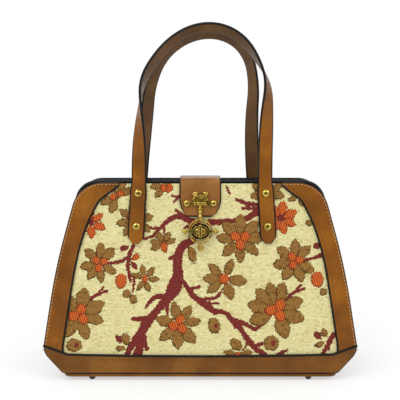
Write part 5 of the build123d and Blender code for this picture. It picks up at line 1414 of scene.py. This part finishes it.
class CARPETBAG_OT_stage(Operator):
    """Pale floor, soft studio light and the camera at the photograph's angle"""

    bl_idname = "carpet_bag.stage"
    bl_label = "Stage"

    def execute(self, context):
        scene = context.scene
        floor = stage_sheet("floor", 6, 6, Matrix.Identity(4))
        made, tree = new_material("Pale studio floor")
        paint = add(tree, "BsdfDiffuse", {"Color": colours().floor})
        # Where it is seen, the floor is lifted to the background's white and keeps a soft shadow.
        glow = add(tree, "Emission", {"Color": (1, 1, 1)})
        lift = add(tree, "Math", {0: seen_rays(tree), 1: 0.55}, operation="MULTIPLY")
        paint = add(tree, "MixShader", {0: lift, 1: paint, 2: glow})
        # The floor fades into the white background away from the bag.
        where = add(tree, "TexCoord", out="Object")
        away = add(tree, "VectorMath", {0: where}, out="Value", operation="LENGTH")
        away = add(tree, "MapRange", {0: away, 1: 0.35, 2: 1.1})
        clear = add(tree, "BsdfTransparent")
        paint = add(tree, "MixShader", {0: away, 1: paint, 2: clear})
        add(tree, "OutputMaterial", {0: paint})
        floor.data.materials.append(made)
        # A dark card behind the camera gives the brass and the leather their dark reflections.
        card = stage_sheet("card", 1.1, 0.55,
                           Matrix.Translation((0, -1.3, 0.5)) @ Matrix.Rotation(math.radians(-90), 4, "X"))
        card.visible_camera = False
        card.visible_shadow = False
        card.visible_diffuse = False
        made, tree = new_material("Dark studio card")
        shade = add(tree, "Emission", {"Color": (0.2, 0.19, 0.17)})
        add(tree, "OutputMaterial", {0: shade})
        card.data.materials.append(made)
        world = bpy.data.worlds.new("studio")
        scene.world = world
        world.use_nodes = True
        tree = world.node_tree
        tree.nodes.clear()
        strength = add(tree, "MapRange", {0: seen_rays(tree), 3: 0.85, 4: 1.0})
        light = add(tree, "Background", {"Color": (1, 1, 1), "Strength": strength})
        add(tree, "OutputWorld", {0: light})
        for name, place, wide, power in LAMPS:
            lamp = bpy.data.lights.new(name, "AREA")
            lamp.energy = power
            lamp.size = wide
            light = bpy.data.objects.new(name, lamp)
            scene.collection.objects.link(light)
            aim = (Vector((0, 0, 0.15)) - Vector(place)).to_track_quat("-Z", "Y").to_matrix().to_4x4()
            light.matrix_world = Matrix.Translation(place) @ aim
        camera = bpy.data.cameras.new("camera")
        camera.sensor_width = 36.0
        camera.lens = CAMERA_LENS
        seat = bpy.data.objects.new("camera", camera)
        scene.collection.objects.link(seat)
        seat.matrix_world = (Matrix.Translation(CAMERA_PLACE)
                             @ Matrix.Rotation(math.radians(90 - CAMERA_DIP), 4, "X"))
        scene.camera = seat
        scene.view_settings.view_transform = "Standard"
        return {"FINISHED"}


OPERATORS = (
    CARPETBAG_OT_tapestry,
    CARPETBAG_OT_trims,
    CARPETBAG_OT_bands,
    CARPETBAG_OT_stitching,
    CARPETBAG_OT_bindings,
    CARPETBAG_OT_handles,
    CARPETBAG_OT_flap,
    CARPETBAG_OT_rivets,
    CARPETBAG_OT_clasp,
    CARPETBAG_OT_carcass,
    CARPETBAG_OT_stage,
)


class CARPETBAG_PT_panel(Panel):
    """Lists the bag's pieces, sizes and colours"""

    bl_idname = "CARPETBAG_PT_panel"
    bl_label = "Carpet Bag"
    bl_space_type = "VIEW_3D"
    bl_region_type = "UI"
    bl_category = "Carpet Bag"

    def draw(self, context):
        for operator in OPERATORS:
            self.layout.operator(operator.bl_idname)
        for group in (context.scene.carpet_bag_sizes, context.scene.carpet_bag_colours):
            box = self.layout.box()
            for name in group.__annotations__:
                box.prop(group, name)


def register():
    for group in (CarpetBagSizes, CarpetBagColours, *OPERATORS, CARPETBAG_PT_panel):
        bpy.utils.register_class(group)
    bpy.types.Scene.carpet_bag_sizes = PointerProperty(type=CarpetBagSizes)
    bpy.types.Scene.carpet_bag_colours = PointerProperty(type=CarpetBagColours)


def unregister():
    del bpy.types.Scene.carpet_bag_colours
    del bpy.types.Scene.carpet_bag_sizes
    for group in reversed((CarpetBagSizes, CarpetBagColours, *OPERATORS, CARPETBAG_PT_panel)):
        bpy.utils.unregister_class(group)


def main():
    register()
    bpy.ops.carpet_bag.tapestry()
    bpy.ops.carpet_bag.trims()
    bpy.ops.carpet_bag.bands()
    bpy.ops.carpet_bag.stitching()
    bpy.ops.carpet_bag.bindings()
    bpy.ops.carpet_bag.handles()
    bpy.ops.carpet_bag.flap()
    bpy.ops.carpet_bag.rivets()
    bpy.ops.carpet_bag.clasp()
    bpy.ops.carpet_bag.carcass()
    bpy.ops.carpet_bag.stage()
    bpy.context.view_layer.update()


if __name__ == "__main__":
    main()
